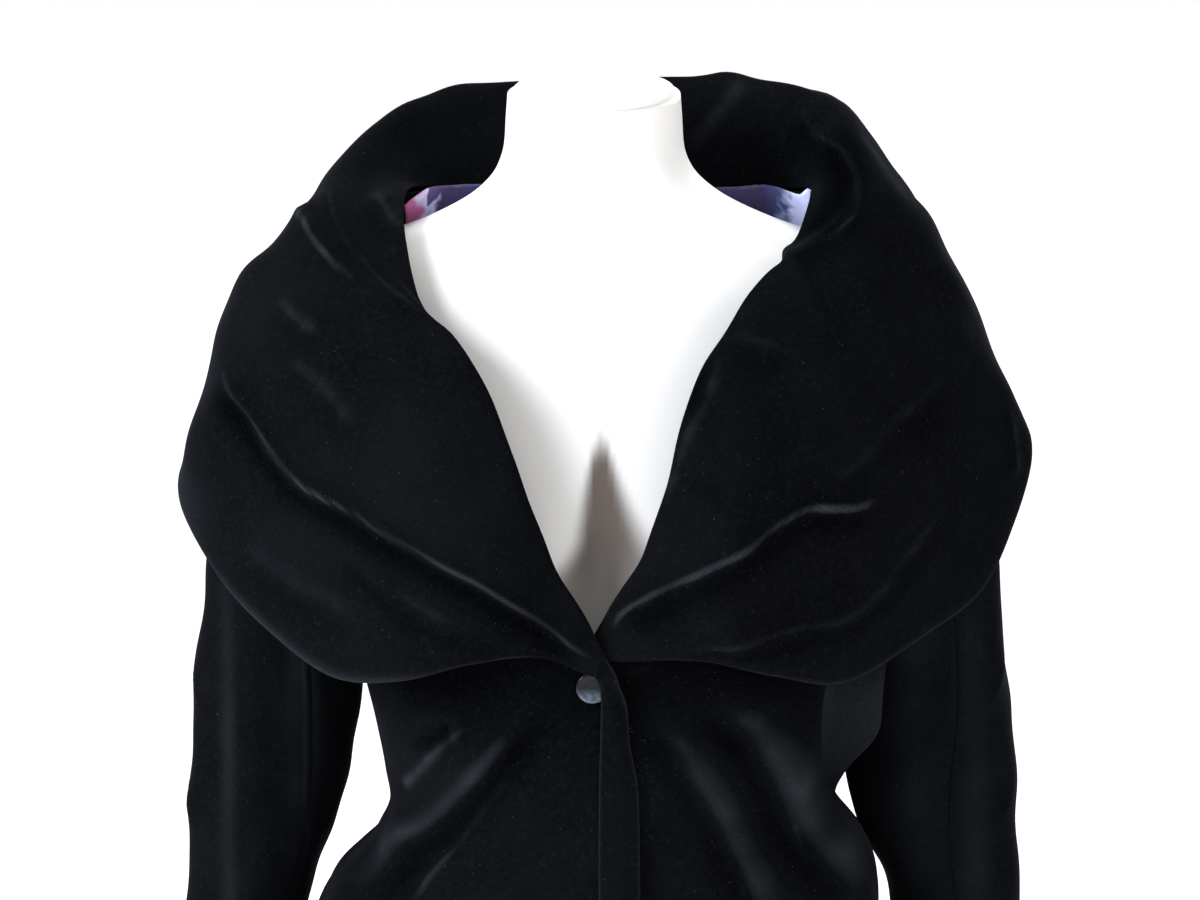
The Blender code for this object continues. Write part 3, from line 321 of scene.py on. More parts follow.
# Rings of the dress form's body: half width, depth before, depth behind, middle's y.
FORM = Table(
    "height half front back middle",
    (0.780, 0.142, 0.092, 0.098, 0.000),
    (0.860, 0.166, 0.100, 0.112, 0.000),
    (0.950, 0.146, 0.094, 0.092, 0.000),
    (1.020, 0.120, 0.085, 0.076, 0.000),
    (1.060, 0.116, 0.086, 0.072, 0.000),
    (1.120, 0.130, 0.100, 0.080, 0.000),
    (1.160, 0.143, 0.119, 0.088, 0.000),
    (1.200, 0.152, 0.126, 0.092, 0.000),
    (1.240, 0.158, 0.118, 0.093, 0.002),
    (1.290, 0.166, 0.099, 0.089, 0.005),
    (1.340, 0.174, 0.080, 0.074, 0.008),
    (1.370, 0.177, 0.068, 0.058, 0.011),
    (1.390, 0.173, 0.056, 0.0467, 0.014),
    (1.402, 0.152, 0.050, 0.036, 0.016),
    (1.414, 0.118, 0.049, 0.038, 0.018),
    (1.428, 0.088, 0.050, 0.046, 0.019),
    (1.442, 0.070, 0.051, 0.048, 0.020),
    (1.458, 0.061, 0.052, 0.050, 0.020),
    (1.475, 0.0585, 0.052, 0.051, 0.020),
    (1.485, 0.0575, 0.052, 0.052, 0.020),
)
BUST_HEIGHT = 1.195
BUST_HALF = 0.078
BUST_RISE = 0.007
HOLLOW_DEPTH = 0.016


class Crease:
    """One crease of a panel, along a line of points (x, z) seen from the front: how high it
    stands, how far it reaches above and below the line, how strong and how wide the painted
    highlight along its crest is, and how dark the painted shade beside it is: below the line, or
    above it where shade is negative. A negative light paints shade along the line itself."""

    def __init__(self, height, above, below, light, glow, shade, line, width=0.009, fade=0.22):
        self.height, self.above, self.below = height, above, below
        self.light, self.glow, self.shade = light, glow, shade
        self.line, self.width, self.fade = np.array(line), width, fade


COLLAR_CREASES = {
    "right main": Crease(0.0085, 0.026, 0.0075, 0.95, 0.0024, 0.75, (
        (-0.2477, 1.3220), (-0.2300, 1.3015), (-0.2166, 1.2854), (-0.2027, 1.2696),
        (-0.1900, 1.2587), (-0.1693, 1.2478), (-0.1484, 1.2387), (-0.1269, 1.2286),
        (-0.0989, 1.2163), (-0.0749, 1.2038), (-0.0491, 1.1869), (-0.0277, 1.1704),
        (-0.0123, 1.1573), (-0.0040, 1.1500)), width=0.013, fade=0.08),
    "right shoulder": Crease(0.0040, 0.008, 0.008, 0.60, 0.0018, -0.2, (
        (-0.2060, 1.4290), (-0.1983, 1.4186), (-0.1927, 1.4141), (-0.1860, 1.4044),
        (-0.1773, 1.3953), (-0.1680, 1.3885), (-0.1560, 1.3800))),
    "right upper": Crease(0.0035, 0.010, 0.007, 0.26, 0.0035, 0.2, (
        (-0.2069, 1.3686), (-0.1937, 1.3573), (-0.1856, 1.3518), (-0.1753, 1.3469))),
    "right middle": Crease(0.0028, 0.012, 0.009, 0.17, 0.0050, 0.2, (
        (-0.2010, 1.3344), (-0.1841, 1.3224), (-0.1727, 1.3144), (-0.1637, 1.3042),
        (-0.1527, 1.2920))),
    "right roll": Crease(0.0034, 0.006, 0.014, 0.32, 0.0018, -0.20, (
        (-0.1810, 1.4380), (-0.1706, 1.4139), (-0.1616, 1.4015), (-0.1503, 1.3918),
        (-0.1379, 1.3796), (-0.1245, 1.3699), (-0.1090, 1.3590)), width=0.013, fade=0.12),
    "right notch": Crease(-0.0030, 0.005, 0.005, -0.3, 0.003, 0.0, (
        (-0.1877, 1.4380), (-0.1873, 1.4273), (-0.1887, 1.4172))),
    "right low": Crease(0.0042, 0.014, 0.011, 0.12, 0.0070, 0.35, (
        (-0.1776, 1.2231), (-0.1539, 1.2151), (-0.1430, 1.2076), (-0.1259, 1.1935),
        (-0.1066, 1.1819), (-0.0807, 1.1734), (-0.0519, 1.1675))),
    "right lowest": Crease(0.0030, 0.014, 0.012, 0.08, 0.0080, 0.25, (
        (-0.2326, 1.2121), (-0.2155, 1.2018), (-0.1926, 1.1889), (-0.1681, 1.1794),
        (-0.1479, 1.1723))),
    "left main": Crease(0.0080, 0.0085, 0.026, 0.90, 0.0023, 0.55, (
        (0.0064, 1.1673), (0.0158, 1.1815), (0.0310, 1.1923), (0.0613, 1.2093),
        (0.0901, 1.2242), (0.1149, 1.2393), (0.1278, 1.2448), (0.1412, 1.2440),
        (0.1584, 1.2427), (0.1789, 1.2474)), width=0.012, fade=0.12),
    "left bright end": Crease(0.0012, 0.005, 0.005, 0.35, 0.0035, 0.0, (
        (0.1278, 1.2448), (0.1412, 1.2432), (0.1584, 1.2427), (0.1709, 1.2450))),
    "left low": Crease(0.0060, 0.014, 0.010, 0.26, 0.0030, 0.4, (
        (0.0438, 1.1560), (0.0867, 1.1626), (0.1255, 1.1688), (0.1492, 1.1706),
        (0.1653, 1.1771), (0.1791, 1.1882), (0.1893, 1.2004), (0.2010, 1.2141),
        (0.2166, 1.2310), (0.2291, 1.2446))),
    "left upper": Crease(0.0040, 0.012, 0.010, 0.16, 0.0035, 0.3, (
        (0.1392, 1.2534), (0.1540, 1.2647), (0.1710, 1.2772), (0.1868, 1.2914),
        (0.2019, 1.3028), (0.2124, 1.3106), (0.2279, 1.3218))),
    "left small": Crease(0.0020, 0.008, 0.005, 0.14, 0.0040, 0.3, (
        (0.0811, 1.3482), (0.0912, 1.3474), (0.1032, 1.3427), (0.1163, 1.3438))),
    "left inner": Crease(0.0030, 0.004, 0.018, 0.35, 0.0040, -0.8, (
        (0.0732, 1.3400), (0.0720, 1.3303), (0.0662, 1.3150), (0.0558, 1.2947),
        (0.0466, 1.2718), (0.0380, 1.2460))),
    "left side": Crease(0.0020, 0.004, 0.004, 0.30, 0.0020, 0.3, (
        (0.2712, 1.2937), (0.2743, 1.2758), (0.2767, 1.2566), (0.2757, 1.2403))),
}
ROLL_CREASES = {
    "left lip": Crease(0.0050, 0.0040, 0.016, 0.65, 0.0016, -0.55, (
        (0.1340, 1.4840), (0.1407, 1.4788), (0.1446, 1.4716), (0.1506, 1.4656),
        (0.1585, 1.4621), (0.1652, 1.4537), (0.1692, 1.4415), (0.1689, 1.4305),
        (0.1661, 1.4224), (0.1601, 1.4143), (0.1518, 1.4080), (0.1385, 1.4027),
        (0.1253, 1.3967), (0.1150, 1.3910)), width=0.016, fade=0.08),
    "left streak": Crease(0.0018, 0.010, 0.010, 0.24, 0.0045, 0.0, (
        (0.1040, 1.5070), (0.0879, 1.4869), (0.0759, 1.4718), (0.0600, 1.4550))),
    "right pleat": Crease(0.0022, 0.006, 0.006, 0.20, 0.0026, 0.1, (
        (-0.1560, 1.4330), (-0.1440, 1.4240), (-0.1330, 1.4120), (-0.1250, 1.4060))),
    "right inner": Crease(0.0016, 0.005, 0.007, 0.11, 0.0024, 0.1, (
        (-0.1480, 1.4340), (-0.1400, 1.4180), (-0.1350, 1.4000), (-0.1320, 1.3870))),
}
FRONT_RIGHT_CREASES = {
    "high": Crease(0.0085, 0.013, 0.0070, 0.46, 0.0060, 0.60, (
        (-0.0343, 1.1203), (-0.0505, 1.1050), (-0.0610, 1.0904), (-0.0763, 1.0684),
        (-0.0934, 1.0467), (-0.1112, 1.0254), (-0.1320, 1.0034), (-0.1490, 0.9850),
        (-0.1650, 0.9700)),
        width=0.010, fade=0.24),
    "low": Crease(0.0040, 0.005, 0.012, 0.38, 0.0022, 0.0, (
        (-0.0443, 1.0874), (-0.0611, 1.0613), (-0.0780, 1.0359), (-0.0941, 1.0110),
        (-0.1138, 0.9863), (-0.1300, 0.9660))),
    "short": Crease(0.0045, 0.006, 0.006, 0.46, 0.0032, 0.0, (
        (-0.0820, 1.1010), (-0.0961, 1.0885), (-0.1076, 1.0735), (-0.1197, 1.0570),
        (-0.1280, 1.0450)), fade=0.16),
    "short top": Crease(0.0020, 0.006, 0.006, 0.26, 0.0032, 0.0, (
        (-0.0840, 1.1000), (-0.0961, 1.1035), (-0.1115, 1.1000), (-0.1240, 1.0930))),
    "pit": Crease(-0.0030, 0.005, 0.005, -0.50, 0.0042, 0.0, (
        (-0.0900, 1.0990), (-0.1018, 1.0905), (-0.1130, 1.0830), (-0.1250, 1.0760))),
}
FRONT_LEFT_CREASES = {
    "high": Crease(0.0092, 0.014, 0.011, 0.50, 0.0130, 0.6, (
        (0.0600, 1.1260), (0.0923, 1.1052), (0.1061, 1.0871), (0.1201, 1.0582),
        (0.1320, 1.0292), (0.1523, 1.0035), (0.1810, 0.9740)), width=0.010),
    "low": Crease(0.0062, 0.011, 0.009, 0.30, 0.0095, 0.4, (
        (0.0300, 1.1200), (0.0544, 1.0872), (0.0634, 1.0689), (0.0767, 1.0470),
        (0.0880, 1.0219), (0.1029, 0.9889), (0.1150, 0.9600))),
    "thin": Crease(0.0012, 0.003, 0.003, 0.28, 0.0018, 0.0, (
        (0.1210, 1.0290), (0.1270, 1.0144), (0.1330, 1.0003))),
    "patch": Crease(0.0016, 0.005, 0.004, 0.28, 0.0032, 0.0, (
        (0.0116, 1.1353), (0.0223, 1.1390), (0.0354, 1.1427))),
}
# How far beside a crease its strip of painted shade lies, and how round its crest is.
SHADE_BEYOND = 0.006
CREST_ROUND = 0.002
# How far the collar's two ends are drawn inward and down to meet at the break.
LEFT_END_SHIFT = (0.0068, 0.0005)
RIGHT_END_SHIFT = (0.0011, 0.0011)
# Painted highlight along the collar's outer edge, and wider strips of it: how strong, how wide,
# and the sections where each begins, is full, fades and ends.
RIM_LIGHT = 0.30
RIM_WIDTH = 0.0025
RIM_HIGHLIGHTS = ((0.36, 0.0065, 2.2, 3.6, 5.2, 6.6), (0.30, 0.028, 6.0, 7.0, 7.6, 8.8))
# Painted shade inside the collar's stand on the wearer's left, by section and across.
STAND_SHADE = 0.30
STAND_SECTIONS = (16.6, 17.4, 21.4, 22.2)
STAND_STOPS = (0.1, 0.3, 0.95, 1.15)
# How dark the painted shadow on the fronts lies just under the collar.
SHADOW_UNDER_COLLAR = 0.55
# Height of the painted highlight on the pouch under the wearer's left arm.
POUCH_LIGHT = 1.10
# Opening left between two sewn panels.
SEAM_CLOSE = 0.00006
# How deep the cloth dips along a sleeve's seams, and how far from them.
SEAM_DIP = 0.0011
SEAM_DIP_REACH = 0.003
FLOOR_REACH = 30.0
FLOOR_LEVEL = -0.0006
LIGHTS_AIM = (0.0, 0.0, 1.2)
# Each light's name, the setting that holds its power, its place, its size and its colour.
LIGHTS = (
    ("window", "key", (-2.2, -1.3, 2.3), 1.5, (0.90, 0.94, 1.0)),
    ("fill", "fill", (2.4, -1.8, 1.9), 1.6, (1.0, 0.99, 0.97)),
    ("top", "top", (0.2, 1.1, 2.9), 1.4, (1.0, 1.0, 1.0)),
)
MARK_HEIGHTS = (1.2000, 1.1070, 1.0000, 0.8600)


def painted_sleeve_light(light, glow, *places, heights=MARK_HEIGHTS):
    """A painted highlight or painted shade down a sleeve, along a line that has these x at the
    heights.
    """
    return Crease(0.001, 0.01, 0.01, light, glow, 0.0, tuple(zip(places, heights)))


# Painted light down each sleeve: highlights where light is positive, painted shade where it is
# negative.
SLEEVE_PAINTED_LIGHT = {
    "right": {
        "streak": painted_sleeve_light(0.20, 0.0055, -0.2520, -0.2495, -0.2515, -0.2530),
        "inner": painted_sleeve_light(0.12, 0.0150, -0.2020, -0.2010, -0.2020, -0.2030),
        "shade": painted_sleeve_light(-0.20, 0.0120, -0.2250, -0.2240, -0.2250, -0.2260),
        "seam": painted_sleeve_light(0.30, 0.0012, -0.1985, -0.1980, -0.1995, -0.2000,
                          heights=(1.1600, *MARK_HEIGHTS[1:])),
    },
    "left": {
        "inner": painted_sleeve_light(0.12, 0.0180, 0.2060, 0.2070, 0.2090, 0.2090),
        "streak": painted_sleeve_light(0.14, 0.0120, 0.2480, 0.2520, 0.2560, 0.2560),
    },
}

# How much further the satin is drawn out than its solid: upward, and to either end.
LINING_RISE = 0.0115
LINING_WIDER = (-0.002, 0.010)

# Half width of the painted shade in the form's hollow at each height, and its top.
HOLLOW_SHADE_TOP = 1.296
HOLLOW_SHADE = Table(
    "z left right", (1.05, 0.060, 0.080), (1.180, 0.050, 0.070), (1.195, 0.034, 0.060),
    (1.205, 0.023, 0.046), (1.216, 0.016, 0.035), (1.228, 0.0135, 0.027), (1.243, 0.0115, 0.019),
    (1.260, 0.0085, 0.012), (1.275, 0.0050, 0.007), (1.294, 0.0015, 0.002),
)
# Sleeve creases, as points (row of the sleeve's table, degrees round it), how finely each line
# is followed, and how many degrees lie as far apart as two rows.
CREASE_STEPS = 40
DEGREES_PER_ROW = 40.0
SLEEVE_CREASES = {
    "right": (
        (0.0030, 0.16, 0.10, (2.2, 20), (3.4, 60), (4.6, 92)),
        (0.0035, 0.14, 0.09, (6.6, 10), (7.2, 52), (7.6, 96), (7.7, 130)),
        (0.0030, 0.12, 0.08, (7.9, 8), (8.3, 46), (8.5, 88)),
        (0.0024, 0.12, 0.08, (9.0, 30), (9.3, 70), (9.4, 110)),
    ),
    "left": (
        (0.0030, 0.16, 0.10, (2.4, 14), (3.4, 48), (4.8, 84)),
        (0.0036, 0.14, 0.09, (6.3, 6), (6.9, 44), (7.4, 90), (7.5, 128)),
        (0.0028, 0.12, 0.08, (7.8, 12), (8.2, 50), (8.3, 92)),
        (0.0024, 0.12, 0.08, (9.1, 24), (9.4, 66), (9.6, 104)),
    ),
}

# Soft waves of the cloth
RIPPLE_WAVES = 16
RIPPLE_SHORTEST = 0.028
RIPPLE_LONGEST = 0.085
RIPPLE_SEEDS = {"collar": 3, "back": 5, "fronts": 11, "sleeves": 21}

# Edges: how the collar's rim turns under, and how close the rows lie at every border
EDGE_ROLL_REACH = 0.013
EDGE_ROLL_DEPTH = 0.0035
EDGE_STOPS = (0.0, 0.0002, 0.0005, 0.0009, 0.0014)

# How finely each piece is drawn: points round or down it, and across it
COLLAR_POINTS = (480, 88)
FRONT_COLUMNS = 130
BACK_COLUMNS = 150
BAND_POINTS = (150, 22)
LINING_POINTS = (44, 170)
SLEEVE_ROWS = 190
SLEEVE_FINER = 8
FORM_COLUMNS = 320

# Flares of the skirt, and the pouch under the wearer's left arm
SKIRT_WAVES = 7
SKIRT_WAVE = 0.013
FLANK_POUCH = 0.036
POUCH_WAY = np.array([0.95, -0.30, 0.0])
# Where the pouch rises and falls: degrees past the side seam, degrees round, and heights.
POUCH_START = (1.0, 7.5)
POUCH_END = (79, 100)
POUCH_HEIGHTS = (1.020, 1.085, 1.125, 1.175)


def smooth_line(points, count):
    """A line through the points, with count points evenly along it."""
    points = np.asarray(points, float)
    run = np.concatenate([[0.0], np.cumsum(np.linalg.norm(np.diff(points, axis=0), axis=1))])
    return smooth_curve(run, points, np.linspace(0.0, run[-1], count))


def crease_marks(creases, x, z, strength=1.0):
    """How far the creases lift each point, and the painted light on it. The lift is height times e
    to the minus distance from the line, rounded at the crest, over the reach. The painted light is
    a highlight near the crest, as e to the minus squared distance over the glow, and painted shade
    beside it."""
    lift = np.zeros(x.shape)
    nap = np.zeros(x.shape)
    for crease in creases.values():
        points = smooth_line(crease.line, 2 * len(crease.line) + 6)
        if points[0, 0] > points[-1, 0]:
            points = points[::-1]
        best = np.full(x.shape, np.inf)
        side = np.zeros(x.shape)
        along = np.zeros(x.shape)
        steps = np.diff(points, axis=0)
        lengths = np.linalg.norm(steps, axis=1)
        reached = np.concatenate([[0.0], np.cumsum(lengths)]) / lengths.sum()
        for k, length in enumerate(lengths):
            dx, dz = steps[k] / length
            t = np.clip((x - points[k, 0]) * dx + (z - points[k, 1]) * dz, 0.0, length)
            away_x, away_z = x - points[k, 0] - t * dx, z - points[k, 1] - t * dz
            distance = np.hypot(away_x, away_z)
            closer = distance < best
            best = np.where(closer, distance, best)
            side = np.where(closer, away_z * dx - away_x * dz, side)
            along = np.where(closer, reached[k] + t / length * (reached[k + 1] - reached[k]), along)
        reach = np.where(side >= 0, crease.above, crease.below)
        ends = between(along, 0.0, crease.fade, 1 - crease.fade, 1.0)
        uneven = 1 + 0.18 * np.sin(along * 17 + crease.height * 4000) + 0.1 * np.sin(along * 41)
        peak = np.exp(-(np.sqrt(best**2 + CREST_ROUND**2) - CREST_ROUND) / reach)
        lift += strength * crease.height * ends * uneven * peak
        beside = -np.sign(crease.shade) * np.sign(side) * best - crease.glow - SHADE_BEYOND
        # Painted highlight along the crest, and painted shade beside it.
        nap += crease.light * ends * uneven * bell(best, crease.glow)
        nap -= abs(crease.shade) * ends * bell(beside, crease.width)
    return lift, nap


def ripple(points, height, seed):
    """Soft uneven waves of the cloth: a sum of sines along random ways, with random phases."""
    rng = np.random.default_rng(seed)
    ways = rng.normal(size=(RIPPLE_WAVES, 3))
    ways /= np.linalg.norm(ways, axis=1, keepdims=True)
    lengths = rng.uniform(RIPPLE_SHORTEST, RIPPLE_LONGEST, RIPPLE_WAVES)
    phases = rng.uniform(0, 2 * math.pi, RIPPLE_WAVES)
    heights = height * (lengths / RIPPLE_LONGEST) * 2 / math.sqrt(RIPPLE_WAVES)
    turns = points @ (ways * (2 * math.pi / lengths)[:, None]).T + phases
    return np.sin(turns) @ heights


def border_distance(grid):
    """How far along the cloth each grid point lies from the nearest border."""
    def both_ways(steps, axis):
        zero = np.zeros_like(np.take(steps, [0], axis=axis))
        run = np.concatenate([zero, np.cumsum(steps, axis=axis)], axis=axis)
        whole = np.take(run, [-1], axis=axis)
        return np.minimum(run, whole - run)

    down = both_ways(np.linalg.norm(np.diff(grid, axis=0), axis=2), 0)
    across = both_ways(np.linalg.norm(np.diff(grid, axis=1), axis=2), 1)
    return np.minimum(down, across)


def with_edges(stops, length):
    """The stops, with close ones added at both ends, where a border of this length turns over."""
    stops = np.asarray(stops, float)
    low, high = stops[0], stops[-1]
    extra = np.array(EDGE_STOPS) / length * (high - low)
    inner = stops[(stops > low + extra[-1] * 1.3) & (stops < high - extra[-1] * 1.3)]
    return np.concatenate([low + extra, inner, high - extra[::-1]])


def lap_offset(z):
    """How far the right front lies ahead of the left one, more toward the hem."""
    return CLOTH + LAP_GAP + (LAP_GAP_AT_HEM - LAP_GAP) * (1 - ease(z, HEM, FLARE_TOP))


def surface_normals(surface, first, second, facing=1):
    """Unit normals of surface(first, second), from small steps along both."""
    step = 1e-4
    one = surface(first + step, second) - surface(first - step, second)
    two = surface(first, second + step) - surface(first, second - step)
    normals = np.cross(one, two) * facing
    return normals / np.maximum(np.linalg.norm(normals, axis=-1, keepdims=True), 1e-12)


def grid_normals(grid, facing):
    """Unit normals of a grid of points, on the side that facing (1 or -1) gives."""
    down = np.zeros_like(grid)
    down[1:-1], down[0], down[-1] = grid[2:] - grid[:-2], grid[1] - grid[0], grid[-1] - grid[-2]
    across = np.zeros_like(grid)
    across[:, 1:-1] = grid[:, 2:] - grid[:, :-2]
    across[:, 0], across[:, -1] = grid[:, 1] - grid[:, 0], grid[:, -1] - grid[:, -2]
    normals = np.cross(across, down) * facing
    return normals / np.maximum(np.linalg.norm(normals, axis=2, keepdims=True), 1e-12)


def make_mesh(name, points, faces, finish):
    """A smooth mesh from arrays of points and of four-cornered faces."""
    mesh = bpy.data.meshes.new(name)
    mesh.vertices.add(len(points))
    mesh.vertices.foreach_set("co", np.ascontiguousarray(points, np.float32).ravel())
    mesh.loops.add(faces.size)
    mesh.loops.foreach_set("vertex_index", np.ascontiguousarray(faces, np.int32).ravel())
    mesh.polygons.add(len(faces))
    mesh.polygons.foreach_set("loop_start", np.arange(0, faces.size, 4, dtype=np.int32))
    mesh.polygons.foreach_set("loop_total", np.full(len(faces), 4, dtype=np.int32))
    mesh.update(calc_edges=True)
    mesh.validate()
    mesh.shade_smooth()
    mesh.materials.append(finish)
    obj = bpy.data.objects.new(name, mesh)
    bpy.context.scene.collection.objects.link(obj)
    return obj


def keep_values(obj, name, values):
    """Keeps one number for each point of the mesh, for its material to read."""
    kept = obj.data.attributes.new(name, "FLOAT", "POINT")
    kept.data.foreach_set("value", values.astype(np.float32).ravel())


def cloth_wall(name, grid, thickness, finish, facing=1, normals=None, nap=0.0):
    """A closed sheet: grid is its outer face and the inner one lies thickness behind it. Toward
    the border both draw together along a quarter circle, so that the cloth's edge is round. The
    painted light and shade of each outer point are kept as an attribute for the material."""
    rows, columns = grid.shape[:2]
    if normals is None:
        normals = grid_normals(grid, facing)
    depth = np.broadcast_to(thickness, (rows, columns)).astype(float)
    half = depth / 2
    near = np.clip(border_distance(grid) / half, 0.0, 1.0)
    drawn = 0.94 * half * (1 - np.sqrt(1 - (1 - near) ** 2))
    outer_points = grid - normals * drawn[..., None]
    inner_points = grid - normals * (depth - drawn)[..., None]
    points = np.concatenate([outer_points, inner_points]).reshape(-1, 3)
    outer = np.arange(rows * columns).reshape(rows, columns)
    inner = outer + rows * columns

    def quads(a, b, c, d):
        return np.stack([a, b, c, d], axis=-1).reshape(-1, 4)

    rim = np.concatenate([outer[0, :-1], outer[:-1, -1], outer[-1, :0:-1], outer[:0:-1, 0]])
    after = np.roll(rim, -1)
    faces = np.concatenate([
        quads(outer[:-1, :-1], outer[:-1, 1:], outer[1:, 1:], outer[1:, :-1]),
        quads(inner[:-1, :-1], inner[1:, :-1], inner[1:, 1:], inner[:-1, 1:]),
        quads(after, rim, rim + rows * columns, after + rows * columns),
    ])
    if facing < 0:
        faces = faces[:, ::-1]
    obj = make_mesh(name, points, faces, finish)
    painted_light_layer = np.zeros((2, rows, columns))
    painted_light_layer[0] = nap
    keep_values(obj, "nap", painted_light_layer)
    return obj


def ring_mesh(name, rings, finish):
    """A mesh through closed rings of points, one row for each ring."""
    count, around = rings.shape[:2]
    grid = np.arange(count * around).reshape(count, around)
    after = np.roll(grid, -1, axis=1)
    faces = np.stack([grid[:-1], after[:-1], after[1:], grid[1:]], axis=-1).reshape(-1, 4)
    return make_mesh(name, rings.reshape(-1, 3), faces, finish)


def turned_shape(name, profile, centre, way, finish, segments=64):
    """A closed turned shape: the profile's rows give radius and height along way, and its first
    and last points lie on the axis."""
    way = np.asarray(way, float) / np.linalg.norm(way)
    side = np.cross(way, [0.0, 0.0, 1.0] if abs(way[2]) < 0.9 else [1.0, 0.0, 0.0])
    side /= np.linalg.norm(side)
    other = np.cross(way, side)
    turn = np.linspace(0, 2 * math.pi, segments, endpoint=False)
    ring = np.cos(turn)[:, None] * side + np.sin(turn)[:, None] * other
    profile = np.asarray(profile, float)
    points = np.asarray(centre) + profile[:, None, 1:] * way + profile[:, None, :1] * ring
    return close_poles(ring_mesh(name, points, finish))


def close_poles(obj):
    """Merges the points that a profile's ends put on its axis."""
    shape = bmesh.new()
    shape.from_mesh(obj.data)
    bmesh.ops.remove_doubles(shape, verts=shape.verts, dist=1e-6)
    bmesh.ops.recalc_face_normals(shape, faces=shape.faces)
    shape.to_mesh(obj.data)
    shape.free()
    obj.data.shade_smooth()
    return obj


def neck_table(side):
    """The neckline seam from the break to the shoulder, by height."""
    sections = COLLAR_RIGHT if side < 0 else COLLAR_LEFT
    rows = zip(*(sections.column(name)[:10] for name in ("seam_z", "seam_x", "seam_y")))
    return Table("height x y", *rows)


def neck_half(x):
    """Half width of the neck opening on the side where x lies."""
    return np.where(x < 0, NECK_HALF_RIGHT, NECK_HALF_LEFT)


def shoulder_slope(x):
    """How steeply the shoulder falls on the side where x lies."""
    return np.where(x < 0, SHOULDER_SLOPE_RIGHT, SHOULDER_SLOPE_LEFT)


def shoulder_ridge(x):
    """Height of the shoulder seam at x, level across the neck."""
    return SHOULDER_TOP - shoulder_slope(x) * np.maximum(np.abs(x) - neck_half(x), 0.0)


def neck_relief(x):
    """How much the body's upper rings are raised at x, or lowered beyond the neck."""
    inside = NECK_RELIEF * np.maximum(1 - (x / neck_half(x)) ** 2, 0.0)
    return inside - shoulder_slope(x) * np.maximum(np.abs(x) - neck_half(x), 0.0)


def back_neckline(x):
    """Y and height of the back neckline seam at x."""
    names = ("seam_x", "seam_y", "seam_z")
    right = np.stack([COLLAR_RIGHT.column(name)[9:] for name in names], axis=1)
    left = np.stack([COLLAR_LEFT.column(name)[:8:-1] for name in names], axis=1)
    line = np.concatenate([right, [COLLAR_BACK[:3]], left])
    found = smooth_curve(line[:, 0], line[:, 1:], x)
    return found[..., 0], found[..., 1]


def body_points(angle, height, top):
    """Points of the coat's body at angles round from the front, where top gives the upper edge."""
    sine, cosine = np.sin(angle), np.cos(angle)
    half = np.where(sine < 0, BODY.read("right", height), BODY.read("left", height))
    x = half * np.sign(sine) * np.abs(sine) ** (2 / SQUARENESS)
    share = np.clip((height - UNDERARM) / (SHOULDER_TOP - UNDERARM), 0.0, 1.0)
    z = np.where(share > 0, UNDERARM + share * (top(x) - UNDERARM), height)
    level = z - neck_relief(x) * ease(z, *RELIEF_HEIGHTS)
    depth = np.where(cosine > 0, -BODY.read("front", level), BODY.read("back", level))
    y = BODY.read("middle", level) + depth * np.abs(cosine) ** (2 / SQUARENESS)
    return np.stack([x, y, z], axis=-1)


def angle_at(x, height):
    """The angle whose body point has this x, on the front half."""
    half = np.where(x < 0, BODY.read("right", height), BODY.read("left", height))
    ratio = np.clip(np.abs(x) / half, 0.0, 1.0) ** (SQUARENESS / 2)
    return np.sign(x) * np.arcsin(ratio)


def side_angle(side, height, part):
    """Where a front or back panel ends: the side seam, and above it the armhole's edge."""
    seam = np.radians(SIDES.read("right" if side < 0 else "left", height))
    hole = angle_at(ARMHOLE.read(part, height), height)
    if part == "back":
        hole = math.pi - hole
    return np.where(height < UNDERARM, seam, hole) * side


def skirt_waves(grid, angle):
    """Soft flares that grow from the hip down to the hem, as a way out along x and y."""
    grow = SKIRT_WAVE * (1 - ease(grid[..., 2], HEM, FLARE_TOP)) ** 1.3
    wave = grow * (np.cos(SKIRT_WAVES * angle + 0.6) + 0.35 * np.cos(3 * angle - 0.4))
    out = np.stack([np.sin(angle), -np.cos(angle), np.zeros_like(angle)], axis=-1)
    return grid + out * wave[..., None]


def flank_pouch(grid, angle):
    """Cloth of the back that pushes forward under the wearer's left arm."""
    degrees = np.degrees(angle)
    seam = SIDES.read("left", grid[..., 2])
    rise = ease(degrees - seam, *POUCH_START) * (1 - ease(degrees, *POUCH_END))
    rise = rise * between(grid[..., 2], *POUCH_HEIGHTS)
    return grid + FLANK_POUCH * (rise[..., None] * POUCH_WAY)


def heights_between(*stops):
    """Row heights: each stop is a height and the number of steps up to the next one."""
    rows = []
    for (low, steps), (high, _) in zip(stops, stops[1:]):
        rows.extend(np.linspace(low, high, steps, endpoint=False))
    return np.array(rows + [stops[-1][0]])


def panel_rows():
    """Heights of a panel's rows, close at the hem, from the waist up and at the shoulder."""
    stops = ((HEM, 44), (0.80, 22), (FLARE_TOP, 78), (BREAK, 14), (UNDERARM, 34), (1.35, 16))
    rows = heights_between(*stops, (1.41, 12), (SHOULDER_TOP, 0))
    return with_edges(rows, SHOULDER_TOP - HEM)


def shoulder_strip(height):
    """1 at the shoulder seam, falling to 0 three millimetres below it."""
    return ease(height, SHOULDER_TOP - 0.003, SHOULDER_TOP)


def side_radius(height):
    """The body's half width, by which a seam's gap becomes an angle."""
    return np.maximum(BODY.read("left", height), SIDE_RADIUS)


def spread_angles(start, end, height, stops, top):
    """Angles from start to end on each row, at the stops' shares of the way along the cloth."""
    fine = np.linspace(0.0, 1.0, 160)
    angle = start[:, None] + (end - start)[:, None] * fine
    points = body_points(angle, np.repeat(height[:, None], len(fine), axis=1), top)
    steps = np.linalg.norm(np.diff(points, axis=1), axis=2)
    length = np.concatenate([np.zeros((len(height), 1)), np.cumsum(steps, axis=1)], axis=1)
    rows = [np.interp(stops * run[-1], run, each) for run, each in zip(length, angle)]
    return np.array(rows)


